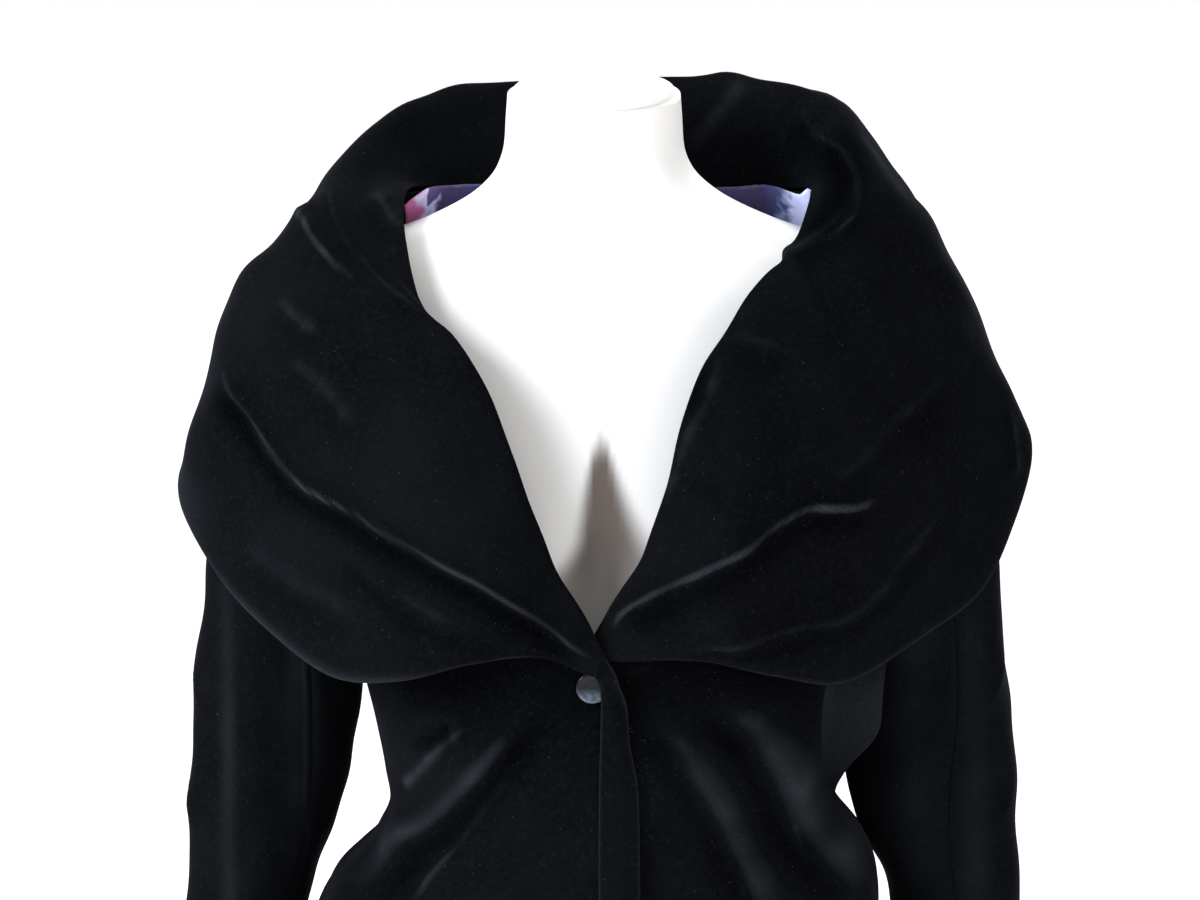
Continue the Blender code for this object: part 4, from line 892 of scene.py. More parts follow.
def front_grid(side, columns, strength, ripple_height):
    """One front: the body's surface from its edge to the side seam and armhole, drawn forward to
    the neckline, with its lap, its creases and soft ripples."""
    name = "right" if side < 0 else "left"
    neck = neck_table(side)
    rows = panel_rows()
    edge = np.where(rows < BREAK, FRONT_EDGE.read(name, rows), neck.read("x", rows))
    inset = NECK_INSET_LOW * ease(rows, BREAK, 1.17) + NECK_INSET_HIGH * ease(rows, 1.33, 1.37)
    start = angle_at(edge + side * inset, rows)
    end = side_angle(side, rows, "front") - side * SEAM_CLOSE / 2 / side_radius(rows)
    s = with_edges(np.linspace(0.0, 1.0, columns), 0.25)
    angle = spread_angles(start, end, rows, s, shoulder_ridge)
    height = np.repeat(rows[:, None], len(s), axis=1)
    grid = body_points(angle, height, shoulder_ridge)
    pull = neck.read("y", rows) - grid[:, 0, 1]
    pull = np.where(rows > BREAK, pull, 0.0) * ease(rows, BREAK, 1.20)
    grid[..., 1] += pull[:, None] * (1 - s) ** 3
    grid[..., 1] -= shoulder_strip(height) * SEAM_GAP / 2
    grid = skirt_waves(grid, angle)
    normals = grid_normals(grid, side)
    creases = FRONT_RIGHT_CREASES if side < 0 else FRONT_LEFT_CREASES
    lift, nap = crease_marks(creases, grid[..., 0], grid[..., 2], strength)
    # Painted shadow on the fronts just under the collar.
    nap = nap - SHADOW_UNDER_COLLAR * ease(grid[..., 2], 1.065, 1.135)
    if side < 0:
        lap = 1 - ease(-grid[..., 0], LAP_HALF, 2 * LAP_HALF)
        lift = lift + lap_offset(grid[..., 2]) * lap
    calm = ease(border_distance(grid), *CALM_BORDER)
    lift = lift + ripple(grid, ripple_height, RIPPLE_SEEDS["fronts"] + side) * calm
    grid = grid + normals * lift[..., None]
    normals = grid_normals(grid, side)
    normals[:, -1] = body_normals(angle[:, -1], rows)
    return grid, shoulder_normals(grid, normals), nap


def body_normals(angle, height):
    """Normals of the body's surface, which both panels share at a seam."""

    def surface(angle, height):
        return skirt_waves(body_points(angle, height, shoulder_ridge), angle)

    return surface_normals(surface, angle, np.minimum(height, SHOULDER_TOP - 2e-4))


def shoulder_normals(grid, normals):
    """Upright normals along the shoulder seam, so that front and back meet face to face."""
    outside = ease(np.abs(grid[-1, :, 0]), 0.115, 0.128)[:, None]
    slope = shoulder_slope(grid[-1, :, 0])
    up = np.zeros_like(normals[-1])
    up[:, 0] = np.sign(grid[-1, :, 0]) * slope / np.hypot(1, slope)
    up[:, 2] = 1 / np.hypot(1, slope)
    mixed = normals[-1] * (1 - outside) + up * outside
    normals[-1] = mixed / np.linalg.norm(mixed, axis=1, keepdims=True)
    return normals


def back_top(x):
    """Upper edge of the back: the neckline seam, then the shoulder seam."""
    neckline = back_neckline(x)[1] - 4 * SEAM_GAP
    return np.minimum(np.where(np.abs(x) < 0.130, neckline, SHOULDER_TOP), shoulder_ridge(x))


def back_grid(columns, ripple_height):
    """The back: the body's surface round from armhole to armhole, drawn to the back neckline."""
    rows = panel_rows()
    start = side_angle(1, rows, "back") + SEAM_CLOSE / 2 / side_radius(rows)
    end = 2 * math.pi + side_angle(-1, rows, "back") - SEAM_CLOSE / 2 / side_radius(rows)
    s = with_edges(np.linspace(0.0, 1.0, columns), 0.45)
    angle = spread_angles(start, end, rows, s, back_top)
    height = np.repeat(rows[:, None], len(s), axis=1)
    grid = body_points(angle, height, back_top)
    neck = 1 - ease(np.abs(grid[..., 0]), *NECK_FADE)
    pull = back_neckline(grid[-1, :, 0])[0] - grid[-1, :, 1]
    grid[..., 1] += pull * neck * ease(height, WALL_RISE, SHOULDER_TOP)
    grid[..., 1] += shoulder_strip(height) * SEAM_GAP / 2
    grid = flank_pouch(skirt_waves(grid, angle), angle)
    normals = grid_normals(grid, 1)
    calm = ease(border_distance(grid), *CALM_BORDER)
    grid = grid + normals * (ripple(grid, ripple_height, RIPPLE_SEEDS["back"]) * calm)[..., None]
    normals = grid_normals(grid, 1)
    for column in (0, -1):
        normals[:, column] = body_normals(angle[:, column], rows)
    return grid, shoulder_normals(grid, normals)


def armhole_loop(side, around):
    """The armhole's edge at angles round from the shoulder, by way of the front."""
    share = (1 - np.cos(around)) / 2
    height = SHOULDER_TOP - share * (SHOULDER_TOP - UNDERARM)
    parts = {
        part: body_points(side_angle(side, height, part), height, shoulder_ridge)
        for part in ("front", "back")
    }
    front = (np.sin(around) > 0)[..., None]
    points = np.where(front, parts["front"], parts["back"])
    points[..., 0] += side * ARMHOLE_GAP
    return points


def sleeve_points(side, row, around):
    """Points of a sleeve at table row (any fraction) and angle round from its outer side."""
    table = SLEEVE_RIGHT if side < 0 else SLEEVE_LEFT

    def ring(at):
        outer_x, inner_x = table.read("outer_x", at), table.read("inner_x", at)
        outer_z, inner_z = table.read("outer_z", at), table.read("inner_z", at)
        turn = np.cos(around)
        return np.stack([
            side * ((outer_x + inner_x) / 2 + turn * (outer_x - inner_x) / 2),
            table.read("middle", at) - table.read("depth", at) * np.sin(around),
            (outer_z + inner_z) / 2 + turn * (outer_z - inner_z) / 2,
        ], axis=-1)

    join = armhole_loop(side, around) - ring(np.zeros_like(row))
    fade = np.clip(1 - row / 1.5, 0.0, 1.0)[..., None] ** 2
    return ring(row) + join * fade


def sleeve_lift(side, row, around, strength):
    """How far a sleeve's creases lift each point, from its distance to each crease's line."""
    total = np.zeros(row.shape)
    for height, above, below, *line in SLEEVE_CREASES["right" if side < 0 else "left"]:
        points = smooth_line(np.array(line) / (1.0, DEGREES_PER_ROW), CREASE_STEPS)
        at = np.stack([row, np.degrees(around) / DEGREES_PER_ROW], axis=-1)
        gaps = np.linalg.norm(at[..., None, :] - points, axis=-1)
        nearest = gaps.argmin(axis=-1)
        away = gaps.min(axis=-1)
        past = row - points[nearest, 0]
        reach = np.where(past < 0, above, below) * 2
        ends = between(nearest / (CREASE_STEPS - 1), 0.0, 0.25, 0.7, 1.0)
        total += strength * height * ends * np.exp(-(np.sqrt(away**2 + 0.02**2) - 0.02) / reach)
    return total


def sleeve_grid(side, upper, columns, strength, ripple_height):
    """Half of a two-piece sleeve between its seams, with creases that die out at the seams."""
    table = SLEEVE_RIGHT if side < 0 else SLEEVE_LEFT
    row = with_edges(np.linspace(0, 11, SLEEVE_ROWS), 0.60)
    gap = SEAM_CLOSE / 2 / SLEEVE_RADIUS
    front = np.radians(table.read("seam", row))
    back = np.full_like(front, math.radians(BACK_SLEEVE_SEAM))
    start, end = (back - 2 * math.pi, front) if upper else (front, back)
    s = with_edges(np.linspace(0.0, 1.0, columns), 0.17)
    around = (start + gap)[:, None] + (end - start - 2 * gap)[:, None] * s
    row = np.repeat(row[:, None], len(s), axis=1)

    def surface(around, row):
        return sleeve_points(side, np.clip(row, 0, 11), around)

    grid = surface(around, row)
    normals = surface_normals(surface, around, row, side)
    inside = ease(border_distance(grid), 0.002, 0.02)
    lift = sleeve_lift(side, row, around, strength) * ease(row, 1.2, 2.5)
    waves = ripple(grid, ripple_height, RIPPLE_SEEDS["sleeves"] + side)
    lift = lift * (0.25 + 0.75 * inside) + waves * inside
    dip = SEAM_DIP * bell(border_distance(grid), SEAM_DIP_REACH) * between(row, 0.5, 1.5, 10.6, 10.95)
    grid = grid + normals * (lift - dip)[..., None]
    fresh = grid_normals(grid, side)
    return grid, fresh * inside[..., None] + normals * (1 - inside[..., None])


# Where the six control points of a collar section lie along it: seam, stand, roll, and so on.
COLLAR_STOPS = (0.0, 0.5, 1.0, 2.1, 3.6, 5.0)


def collar_controls():
    """Six control points for each section, from the neckline seam to the outer edge."""
    names = SECTION_NAMES.split()[1:]
    right = np.stack([COLLAR_RIGHT.column(name) for name in names], axis=1)
    left = np.stack([COLLAR_LEFT.column(name) for name in names], axis=1)
    rows = np.concatenate([right, [COLLAR_BACK], left[::-1]])
    seam, roll, edge, bulge = rows[:, 0:3], rows[:, 3:6], rows[:, 6:9], rows[:, 9:10]
    fall = edge - roll
    fall_way = fall / np.linalg.norm(fall, axis=1, keepdims=True)
    middle = (edge + roll) / 2 - np.array([0.0, 0.02, 0.0])
    middle[:, 2] = 0.0
    out = middle / np.linalg.norm(middle, axis=1, keepdims=True) + np.array([0.0, 0.0, 0.35])
    out = out - np.sum(out * fall_way, axis=1, keepdims=True) * fall_way
    out = out / np.linalg.norm(out, axis=1, keepdims=True)
    from_end = np.minimum(np.arange(len(rows)), np.arange(len(rows))[::-1])[:, None]
    opened = 0.0030 * (1 - ease(from_end, 2, 4)) + 0.0006
    stand = seam + 0.60 * (roll - seam) - (0.10 * bulge + opened) * out
    upper = roll + 0.25 * fall + 0.95 * bulge * out
    lower = roll + 0.63 * fall + 0.72 * bulge * out
    return np.stack([seam, stand, roll, upper, lower, edge], axis=1)


def collar_points(u, v):
    """Collar surface: u runs over the sections round the neck, v from the seam to the edge."""
    controls = collar_controls()
    across = smooth_curve(np.arange(len(controls)), controls, u)
    return smooth_curve(COLLAR_STOPS, np.swapaxes(across, 0, 1), v).swapaxes(0, 1)


def collar_stops(count):
    """Sections round the neck, twice as close on the two fronts as across the back."""
    share = np.linspace(0.0, 1.0, count)
    places = np.array([0.0, 0.40, 0.60, 1.0])
    return np.interp(share, places, np.array([0.0, 9.0, 17.0, 26.0]))


def collar_grid(u_count, v_count, strength, ripple_height):
    """The collar: sections round the neck, carried from seam over the roll to the outer edge,
    then lifted by its creases, rippled, and turned under along the outer edge."""
    u = with_edges(collar_stops(u_count), 1.3)
    v = with_edges(np.linspace(0, 5, v_count), 0.26)
    grid = collar_points(u, v)
    closing = ease(u, 24.9, 26.0)[:, None] * ease(v, 0.0, 0.7)[None, :]
    grid[..., 0] -= LEFT_END_SHIFT[0] * closing
    grid[..., 2] -= LEFT_END_SHIFT[1] * closing
    meeting = (1 - ease(u, 0.0, 0.7))[:, None] * ease(v, 0.0, 0.5)[None, :]
    grid[..., 0] += RIGHT_END_SHIFT[0] * meeting
    grid[..., 2] -= RIGHT_END_SHIFT[1] * meeting
    normals = grid_normals(grid, -1)
    x, z = grid[..., 0], grid[..., 2]
    fall = (ease(v, 1.0, 1.6) * (1 - 0.5 * ease(v, 4.6, 5.0)))[None, :]
    ahead = 1 - ease(grid[..., 1], 0.0, 0.04)
    lift, nap = crease_marks(COLLAR_CREASES, x, z, strength)
    lift, nap = lift * fall * ahead, nap * ease(v, 0.8, 1.2)[None, :] * ahead
    rolled, rolled_painted_light = crease_marks(ROLL_CREASES, x, z, strength)
    near_neck = 1 - ease(v, 2.2, 3.0)[None, :]
    lift, nap = lift + rolled * near_neck, nap + rolled_painted_light * near_neck
    steps = np.linalg.norm(np.diff(grid, axis=1), axis=2)
    run = np.concatenate([np.zeros((len(u), 1)), np.cumsum(steps, axis=1)], axis=1)
    to_edge = run[:, -1:] - run
    ends = ease(np.minimum(u, u[-1] - u), 0.2, 1.2)[:, None]
    calm = ease(to_edge, 0.0, CALM_BORDER[1]) * ease(v, 0.4, 1.2)[None, :] * ends
    lift = lift + ripple(grid, ripple_height, RIPPLE_SEEDS["collar"]) * calm
    turned = np.clip(1 - to_edge / EDGE_ROLL_REACH, 0.0, 1.0) ** 2
    lift = lift - EDGE_ROLL_DEPTH * turned * ends
    # Painted shade inside the stand on the wearer's left.
    nap = nap - STAND_SHADE * between(u, *STAND_SECTIONS)[:, None] * between(v, *STAND_STOPS)
    # Painted highlights along the collar's outer edge, and wider ones on some sections.
    nap = nap + RIM_LIGHT * bell(to_edge, RIM_WIDTH) * ends
    for light, width, *sections in RIM_HIGHLIGHTS:
        nap = nap + light * bell(to_edge, width) * between(u, *sections)[:, None]
    return grid + normals * lift[..., None], u, v, nap


def front_surface(x, z, lift):
    """Points at (x, z) on the front of the body, lift metres ahead of it."""
    points = body_points(angle_at(x, z), z, shoulder_ridge)
    points = skirt_waves(points, angle_at(x, z))
    points[..., 1] -= lift
    return points


def band_grid(rows, columns):
    """The narrow strip down the right front's edge, between its inner edge and its fold."""
    row = with_edges(np.linspace(0, 10, rows), 0.80)
    s = with_edges(np.linspace(0.0, 1.0, columns), 0.024)
    inner = np.stack([BAND.read("inner_x", row), BAND.read("inner_z", row)], axis=-1)
    edge = np.stack([BAND.read("edge_x", row), BAND.read("edge_z", row)], axis=-1)
    flat = inner[:, None] + (edge - inner)[:, None] * s[None, :, None]
    x, z = flat[..., 0], flat[..., 1]
    over_button = bell(z - BUTTON_PLACE[1], 0.020) * (1 - ease(s, 0.25, 1.0))
    crown = BAND_CROWN * np.sin(math.pi * s)
    lift = lap_offset(z) + CLOTH + BAND_LAP_GAP + crown + BAND_LIFT * over_button
    lift = np.maximum(lift, lap_offset(z) + CLOTH + BAND_TOP_LIFT * ease(z, 1.100, 1.148))
    return front_surface(x, z, lift)


def lining_grid(rows, columns):
    """Back neck lining, just inside the back below the neckline seam. It rises a little behind
    the collar's foot, so that no gap shows above it."""
    drop = np.linspace(LINING_DEPTH, -LINING_RISE, rows)[:, None]
    x = np.linspace(-LINING_HALF - LINING_WIDER[0], LINING_HALF + LINING_WIDER[1], columns)
    neck_y, top = back_neckline(x)
    top = np.minimum(top, shoulder_ridge(x) - LINING_BELOW_RIDGE) - LINING_BELOW_SEAM
    narrow = 1 - LINING_TAPER * np.minimum((x / LINING_HALF) ** 2, 0.92)
    rise = 1 - 0.62 * ease(-x, 0.119, 0.133) - 0.35 * ease(x, 0.122, 0.142)
    z = top - np.where(drop > 0, drop * narrow, drop * rise)

    def body_y(height):
        level = height - neck_relief(x) * ease(height, *RELIEF_HEIGHTS)
        ratio = (1 - (np.abs(x) / BODY.read("left", level)) ** SQUARENESS) ** (1 / SQUARENESS)
        return BODY.read("middle", level) + BODY.read("back", level) * ratio

    fade = (1 - ease(np.abs(x), *NECK_FADE)) * ease(z, WALL_RISE, SHOULDER_TOP)
    y = body_y(z) + (neck_y - body_y(top)) * fade
    grid = np.stack([np.repeat(x[None, ::-1], rows, axis=0), y[:, ::-1], z[:, ::-1]], axis=-1)
    return grid - grid_normals(grid, 1) * (CLOTH + LINING_BEHIND)


def form_points(angle, height):
    """The dress form's skin: rounded rings with a soft bust and a hollow between."""
    sine, cosine = np.sin(angle), np.cos(angle)
    x = FORM.read("half", height) * np.sign(sine) * np.abs(sine) ** FORM_SQUARENESS
    depth = np.where(cosine > 0, -FORM.read("front", height), FORM.read("back", height))
    y = FORM.read("middle", height) + depth * np.abs(cosine) ** FORM_SQUARENESS
    ahead = ease(cosine, 0.1, 0.5)
    rise = bell(height - BUST_HEIGHT, 0.040) * ahead
    apex = bell(np.abs(x) - BUST_HALF, 0.036)
    hollow = bell(x, 0.026)
    y = y - BUST_RISE * rise * apex + HOLLOW_DEPTH * rise * hollow
    return np.stack([x, y, height], axis=-1)


def painted_hollow_shade(rings):
    """How strongly painted shade darkens each point of the form: the narrow hollow between the
    collar's edges, widening down to where they meet."""
    x, y, z = rings[..., 0], rings[..., 1], rings[..., 2]
    reach = np.where(x < 0, HOLLOW_SHADE.read("left", z), HOLLOW_SHADE.read("right", z))
    across = 1 - ease(np.abs(x), 0.45 * reach, 1.35 * reach)
    depth = (1 - ease(z, HOLLOW_SHADE_TOP - 0.030, HOLLOW_SHADE_TOP)) * (0.62 + 0.38 * ease(z, 1.165, 1.225))
    return across * depth * (y < 0)


def form_grid(segments):
    """The form's skin from its foot to the neck, whose top leans to the tilt of its cap."""
    stops = ((FORM_BOTTOM, 30), (1.02, 12), (1.12, 50), (1.30, 18), (1.38, 50), (1.485, 0))
    rows = heights_between(*stops)
    turn = np.linspace(0, 2 * math.pi, segments, endpoint=False)
    angle = np.repeat(turn[None], len(rows), axis=0)
    rings = form_points(angle, np.repeat(rows[:, None], segments, axis=1))
    lean = ease(rings[..., 2], 1.455, 1.485)
    rings[..., 2] += lean * (0.0115 + (rings[..., 1] - NECK_TOP[1]) * math.tan(CAP_TILT))
    rings[..., 0] += NECK_TOP[0] * ease(rings[..., 2], 1.40, 1.46)
    return rings


def material_base(name, roughness):
    """A new material with its Principled shader and the piece's own Object coordinates."""
    made = bpy.data.materials.new(name)
    made.use_nodes = True
    shader = made.node_tree.nodes["Principled BSDF"]
    shader.inputs["Roughness"].default_value = roughness
    place = made.node_tree.nodes.new("ShaderNodeTexCoord")
    return made, shader, place.outputs["Object"]


def link(made, source, target):
    """Joins an output socket to an input socket in a material's node tree."""
    made.node_tree.links.new(source, target)


def add_noise(made, place, scale, detail=2.0, roughness=0.5, distortion=0.0):
    """Soft noise at place: the larger the scale, the finer its patches."""
    node = made.node_tree.nodes.new("ShaderNodeTexNoise")
    node.inputs["Scale"].default_value = scale
    node.inputs["Detail"].default_value = detail
    node.inputs["Roughness"].default_value = roughness
    node.inputs["Distortion"].default_value = distortion
    link(made, place, node.inputs["Vector"])
    return node.outputs["Fac"]


def add_ramp(made, factor, *stops):
    """A colour ramp: each stop is a place from 0 to 1 and a colour."""
    node = made.node_tree.nodes.new("ShaderNodeValToRGB")
    ramp = node.color_ramp
    while len(ramp.elements) < len(stops):
        ramp.elements.new(0.5)
    for element, (at, colour) in zip(ramp.elements, stops):
        element.position = at
        element.color = (*colour, 1.0)
    link(made, factor, node.inputs["Fac"])
    return node.outputs["Color"]


def add_math(made, operation, first, second, third=0.0):
    """A sum or a product of a socket and one or two numbers."""
    node = made.node_tree.nodes.new("ShaderNodeMath")
    node.operation = operation
    node.inputs[1].default_value = second
    node.inputs[2].default_value = third
    link(made, first, node.inputs[0])
    return node.outputs["Value"]


def add_mix(made, factor, first, second):
    """Two colours blended by a factor."""
    node = made.node_tree.nodes.new("ShaderNodeMix")
    node.data_type = "RGBA"
    link(made, factor, node.inputs["Factor"])
    link(made, first, node.inputs["A"])
    link(made, second, node.inputs["B"])
    return node.outputs["Result"]


def add_bump(made, shader, *heights):
    """Bump layers, each a factor, its strength and its depth in metres, the coarsest first."""
    below = None
    for factor, strength, depth in heights:
        node = made.node_tree.nodes.new("ShaderNodeBump")
        node.inputs["Strength"].default_value = strength
        node.inputs["Distance"].default_value = depth
        link(made, factor, node.inputs["Height"])
        if below is not None:
            link(made, below, node.inputs["Normal"])
        below = node.outputs["Normal"]
    link(made, below, shader.inputs["Normal"])


def velvet_material(name, settings):
    """Black pile: near-black with a blue-violet cast where the nap lies over, a painted highlight
    along the creases and painted shade beside them, stray fibres, and a soft sheen from the
    shader."""
    made, shader, place = material_base(name, 0.86)
    dark, light = np.array(settings.velvet), np.array(settings.velvet_nap)
    crest_highlight = np.array(settings.painted_crest_highlight)
    nap = add_ramp(made, add_noise(made, place, 11.0, 3.0, 0.6), (0.35, dark), (0.70, light))
    streak = add_noise(made, place, 260.0, 2.0, 0.6)
    worn = add_ramp(made, streak, (0.40, dark * 0.8), (0.75, light))
    soft = add_mix(made, streak, nap, worn)
    pile = add_noise(made, place, 1500.0, 1.0)
    # Painted light kept on the cloth's points: positive values blend toward the painted crest
    # highlight, negative ones toward near black as painted shade.
    painted_light_layer = made.node_tree.nodes.new("ShaderNodeAttribute")
    painted_light_layer.attribute_name = "nap"
    lit = add_mix(
        made, painted_light_layer.outputs["Fac"], soft,
        add_ramp(made, pile, (0.35, crest_highlight * 0.55), (0.68, crest_highlight * 1.15)),
    )
    painted_shade_amount = add_math(made, "MULTIPLY", painted_light_layer.outputs["Fac"], -1.0)
    painted_shade_tone = add_mix(made, painted_shade_amount, lit, add_ramp(made, streak, (0.3, dark * 0.04), (0.7, dark * 0.2)))
    lint = add_noise(made, place, 900.0, 0.0)
    speck = add_ramp(made, lint, (0.815, (0.0, 0.0, 0.0)), (0.86, (0.022, 0.022, 0.025)))
    total = made.node_tree.nodes.new("ShaderNodeMix")
    total.data_type = "RGBA"
    total.blend_type = "ADD"
    total.inputs["Factor"].default_value = 1.0
    link(made, painted_shade_tone, total.inputs["A"])
    link(made, speck, total.inputs["B"])
    link(made, total.outputs["Result"], shader.inputs["Base Color"])
    shader.inputs["Specular IOR Level"].default_value = 0.0
    shader.inputs["Sheen Weight"].default_value = settings.sheen
    shader.inputs["Sheen Roughness"].default_value = 0.30
    shader.inputs["Sheen Tint"].default_value = (0.66, 0.74, 0.90, 1.0)
    coarse = add_noise(made, place, 38.0, 2.0)
    add_bump(made, shader, (coarse, 0.25, 0.0015), (pile, 0.35, 0.0003))
    return made


def lining_material(name, settings):
    """Printed satin: soft cloudy patches of violet and blue, rose and pale toward the ends, with
    a fine weave."""
    made, shader, place = material_base(name, 0.34)
    violet, blue = np.array(settings.lining_violet), np.array(settings.lining_blue)
    clouds = add_noise(made, place, 60.0, 2.0, 0.5, 0.8)
    body = add_ramp(made, clouds, (0.36, blue * 0.4), (0.50, violet), (0.66, blue * 1.6))
    split = made.node_tree.nodes.new("ShaderNodeSeparateXYZ")
    link(made, place, split.inputs["Vector"])
    across = add_math(made, "MULTIPLY_ADD", split.outputs["X"], 3.4, 0.5)
    wavy = made.node_tree.nodes.new("ShaderNodeMath")
    wavy.operation = "ADD"
    link(made, across, wavy.inputs[0])
    shift = add_math(made, "MULTIPLY_ADD", clouds, 0.10, -0.05)
    link(made, shift, wavy.inputs[1])
    print_ends = add_ramp(
        made, wavy.outputs["Value"], (0.085, settings.lining_rose), (0.112, settings.lining_white),
        (0.128, violet * 1.2), (0.865, violet), (0.905, blue * 1.5), (0.935, settings.lining_white),
    )
    ends = add_ramp(
        made, across, (0.12, (1.0, 1.0, 1.0)), (0.15, (0.0, 0.0, 0.0)), (0.86, (0.0, 0.0, 0.0)),
        (0.90, (1.0, 1.0, 1.0)),
    )
    link(made, add_mix(made, ends, body, print_ends), shader.inputs["Base Color"])
    shader.inputs["Sheen Weight"].default_value = 0.1
    weave = add_noise(made, place, 1800.0, 1.0)
    add_bump(made, shader, (weave, 0.15, 0.0002))
    return made


def button_material(name):
    """Polished shell with cloudy streaks: its upper half darkened as painted shade, its lower half
    pale and bluish as a painted reflection.
    """
    made, shader, place = material_base(name, 0.26)
    streaks = add_noise(made, place, 260.0, 3.0, 0.6, 1.2)
    split = made.node_tree.nodes.new("ShaderNodeSeparateXYZ")
    link(made, place, split.inputs["Vector"])
    low, high = BUTTON_PLACE[1] - 0.0075, BUTTON_PLACE[1] - 0.0005
    height = add_math(made, "MULTIPLY_ADD", split.outputs["Z"], -1 / (high - low), high / (high - low))
    # Painted light: the lower half is painted pale and bluish as a reflection, the upper half dark as
    # shade.
    painted_reflection = add_ramp(made, streaks, (0.3, (0.035, 0.050, 0.070)), (0.7, (0.12, 0.15, 0.19)))
    dark = add_ramp(made, streaks, (0.3, (0.003, 0.003, 0.004)), (0.7, (0.008, 0.009, 0.012)))
    link(made, add_mix(made, height, dark, painted_reflection), shader.inputs["Base Color"])
    shader.inputs["Specular IOR Level"].default_value = 0.15
    shader.inputs["Coat Weight"].default_value = 0.04
    shader.inputs["Coat Roughness"].default_value = 0.10
    add_bump(made, shader, (streaks, 0.08, 0.0002))
    return made


def form_material(name, settings):
    """Moulded white shell: almost even, with faint cloudiness and a very fine grain, a painted warm
    grey shade where it lies deep between the collar's edges, and a faint painted glow of its own
    colour."""
    made, shader, place = material_base(name, 0.4)
    white = np.array(settings.form)
    clouds = add_noise(made, place, 6.0, 2.0)
    tone = add_ramp(made, clouds, (0.35, white * 0.96), (0.70, white))
    painted_light_layer = made.node_tree.nodes.new("ShaderNodeAttribute")
    painted_light_layer.attribute_name = "hollow"
    taupe = np.array(settings.painted_hollow_shade)
    painted_shade_tone = add_ramp(made, clouds, (0.35, taupe * 0.95), (0.70, taupe))
    colour = add_mix(made, painted_light_layer.outputs["Fac"], tone, painted_shade_tone)
    link(made, colour, shader.inputs["Base Color"])
    # The shell also glows faintly in its own colour: painted light that lifts its shaded sides.
    link(made, colour, shader.inputs["Emission Color"])
    shader.inputs["Emission Strength"].default_value = 0.16
    grain = add_noise(made, place, 900.0, 1.0)
    add_bump(made, shader, (grain, 0.05, 0.0002))
    return made


def metal_material(name):
    """Brushed pale metal of the stand, with fine scuffs in its roughness."""
    made, shader, place = material_base(name, 0.3)
    scuffs = add_noise(made, place, 120.0, 3.0, 0.6)
    tone = add_ramp(made, scuffs, (0.3, (0.40, 0.40, 0.41)), (0.7, (0.46, 0.46, 0.46)))
    link(made, tone, shader.inputs["Base Color"])
    shader.inputs["Metallic"].default_value = 1.0
    gloss = add_ramp(made, scuffs, (0.3, (0.36, 0.36, 0.36)), (0.7, (0.48, 0.48, 0.48)))
    link(made, gloss, shader.inputs["Roughness"])
    add_bump(made, shader, (scuffs, 0.04, 0.0003))
    return made


def shared_material(name, make, *parts):
    """The material of this name, made on first use."""
    return bpy.data.materials.get(name) or make(name, *parts)


def finish_piece(obj, slot, *nodes):
    """The piece rides on the part's one body and stands for its solids, which are hidden. Its slot is
    not used.
    """
    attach(obj, "root")
    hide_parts(*nodes)
    return obj


def finish_cloth(obj, slot, node, held, *rests_on):
    """A piece of cloth is finished like any other piece. What holds it and what carries it are not
    used.
    """
    finish_piece(obj, slot, node)


class OvercoatCloth(bpy.types.PropertyGroup):
    creases: FloatProperty(
        name="Creases", description="Height of the creases, as a share of their own height",
        default=1.0, min=0.0, max=2.0, subtype="FACTOR",
    )
    ripples: FloatProperty(
        name="Ripples", description="Height of the soft uneven waves in the cloth",
        default=0.0011, min=0.0, max=0.005, unit="LENGTH",
    )
    sheen: FloatProperty(
        name="Sheen", description="Strength of the velvet's sheen",
        default=0.045, min=0.0, max=1.0, subtype="FACTOR",
    )
    velvet: FloatVectorProperty(
        name="Velvet", description="Colour of the velvet's pile seen from above",
        default=(0.0029, 0.0031, 0.0038), min=0.0, max=1.0, subtype="COLOR",
    )
    velvet_nap: FloatVectorProperty(
        name="Velvet nap", description="Colour of the velvet where its nap lies over",
        default=(0.0054, 0.0059, 0.0072), min=0.0, max=1.0, subtype="COLOR",
    )
    # Colour of the painted highlight along a crease's crest.
    painted_crest_highlight: FloatVectorProperty(
        name="Velvet crests", description="Colour of the velvet along the crest of a crease",
        default=(0.034, 0.038, 0.046), min=0.0, max=1.0, subtype="COLOR",
    )


class OvercoatLining(bpy.types.PropertyGroup):
    lining_violet: FloatVectorProperty(
        name="Violet", description="Main colour of the lining's cloudy print",
        default=(0.050, 0.028, 0.110), min=0.0, max=1.0, subtype="COLOR",
    )
    lining_blue: FloatVectorProperty(
        name="Blue", description="Dark patches of the lining's print",
        default=(0.016, 0.026, 0.095), min=0.0, max=1.0, subtype="COLOR",
    )
    lining_rose: FloatVectorProperty(
        name="Rose", description="Warm patches of the lining's print",
        default=(0.40, 0.09, 0.26), min=0.0, max=1.0, subtype="COLOR",
    )
    lining_white: FloatVectorProperty(
        name="Pale", description="Lightest patches of the lining's print",
        default=(0.48, 0.52, 0.78), min=0.0, max=1.0, subtype="COLOR",
    )


class OvercoatForm(bpy.types.PropertyGroup):
    form: FloatVectorProperty(
        name="Shell", description="Colour of the dress form's shell",
        default=(0.84, 0.83, 0.82), min=0.0, max=1.0, subtype="COLOR",
    )
    # Colour of the painted shade deep between the collar's edges.
    painted_hollow_shade: FloatVectorProperty(
        name="Hollow", description="Colour of the shell deep between the collar's edges",
        default=(0.122, 0.096, 0.082), min=0.0, max=1.0, subtype="COLOR",
    )
    button_radius: FloatProperty(
        name="Button radius", description="Radius of the button",
        default=BUTTON_RADIUS, min=0.005, max=0.02, unit="LENGTH",
    )


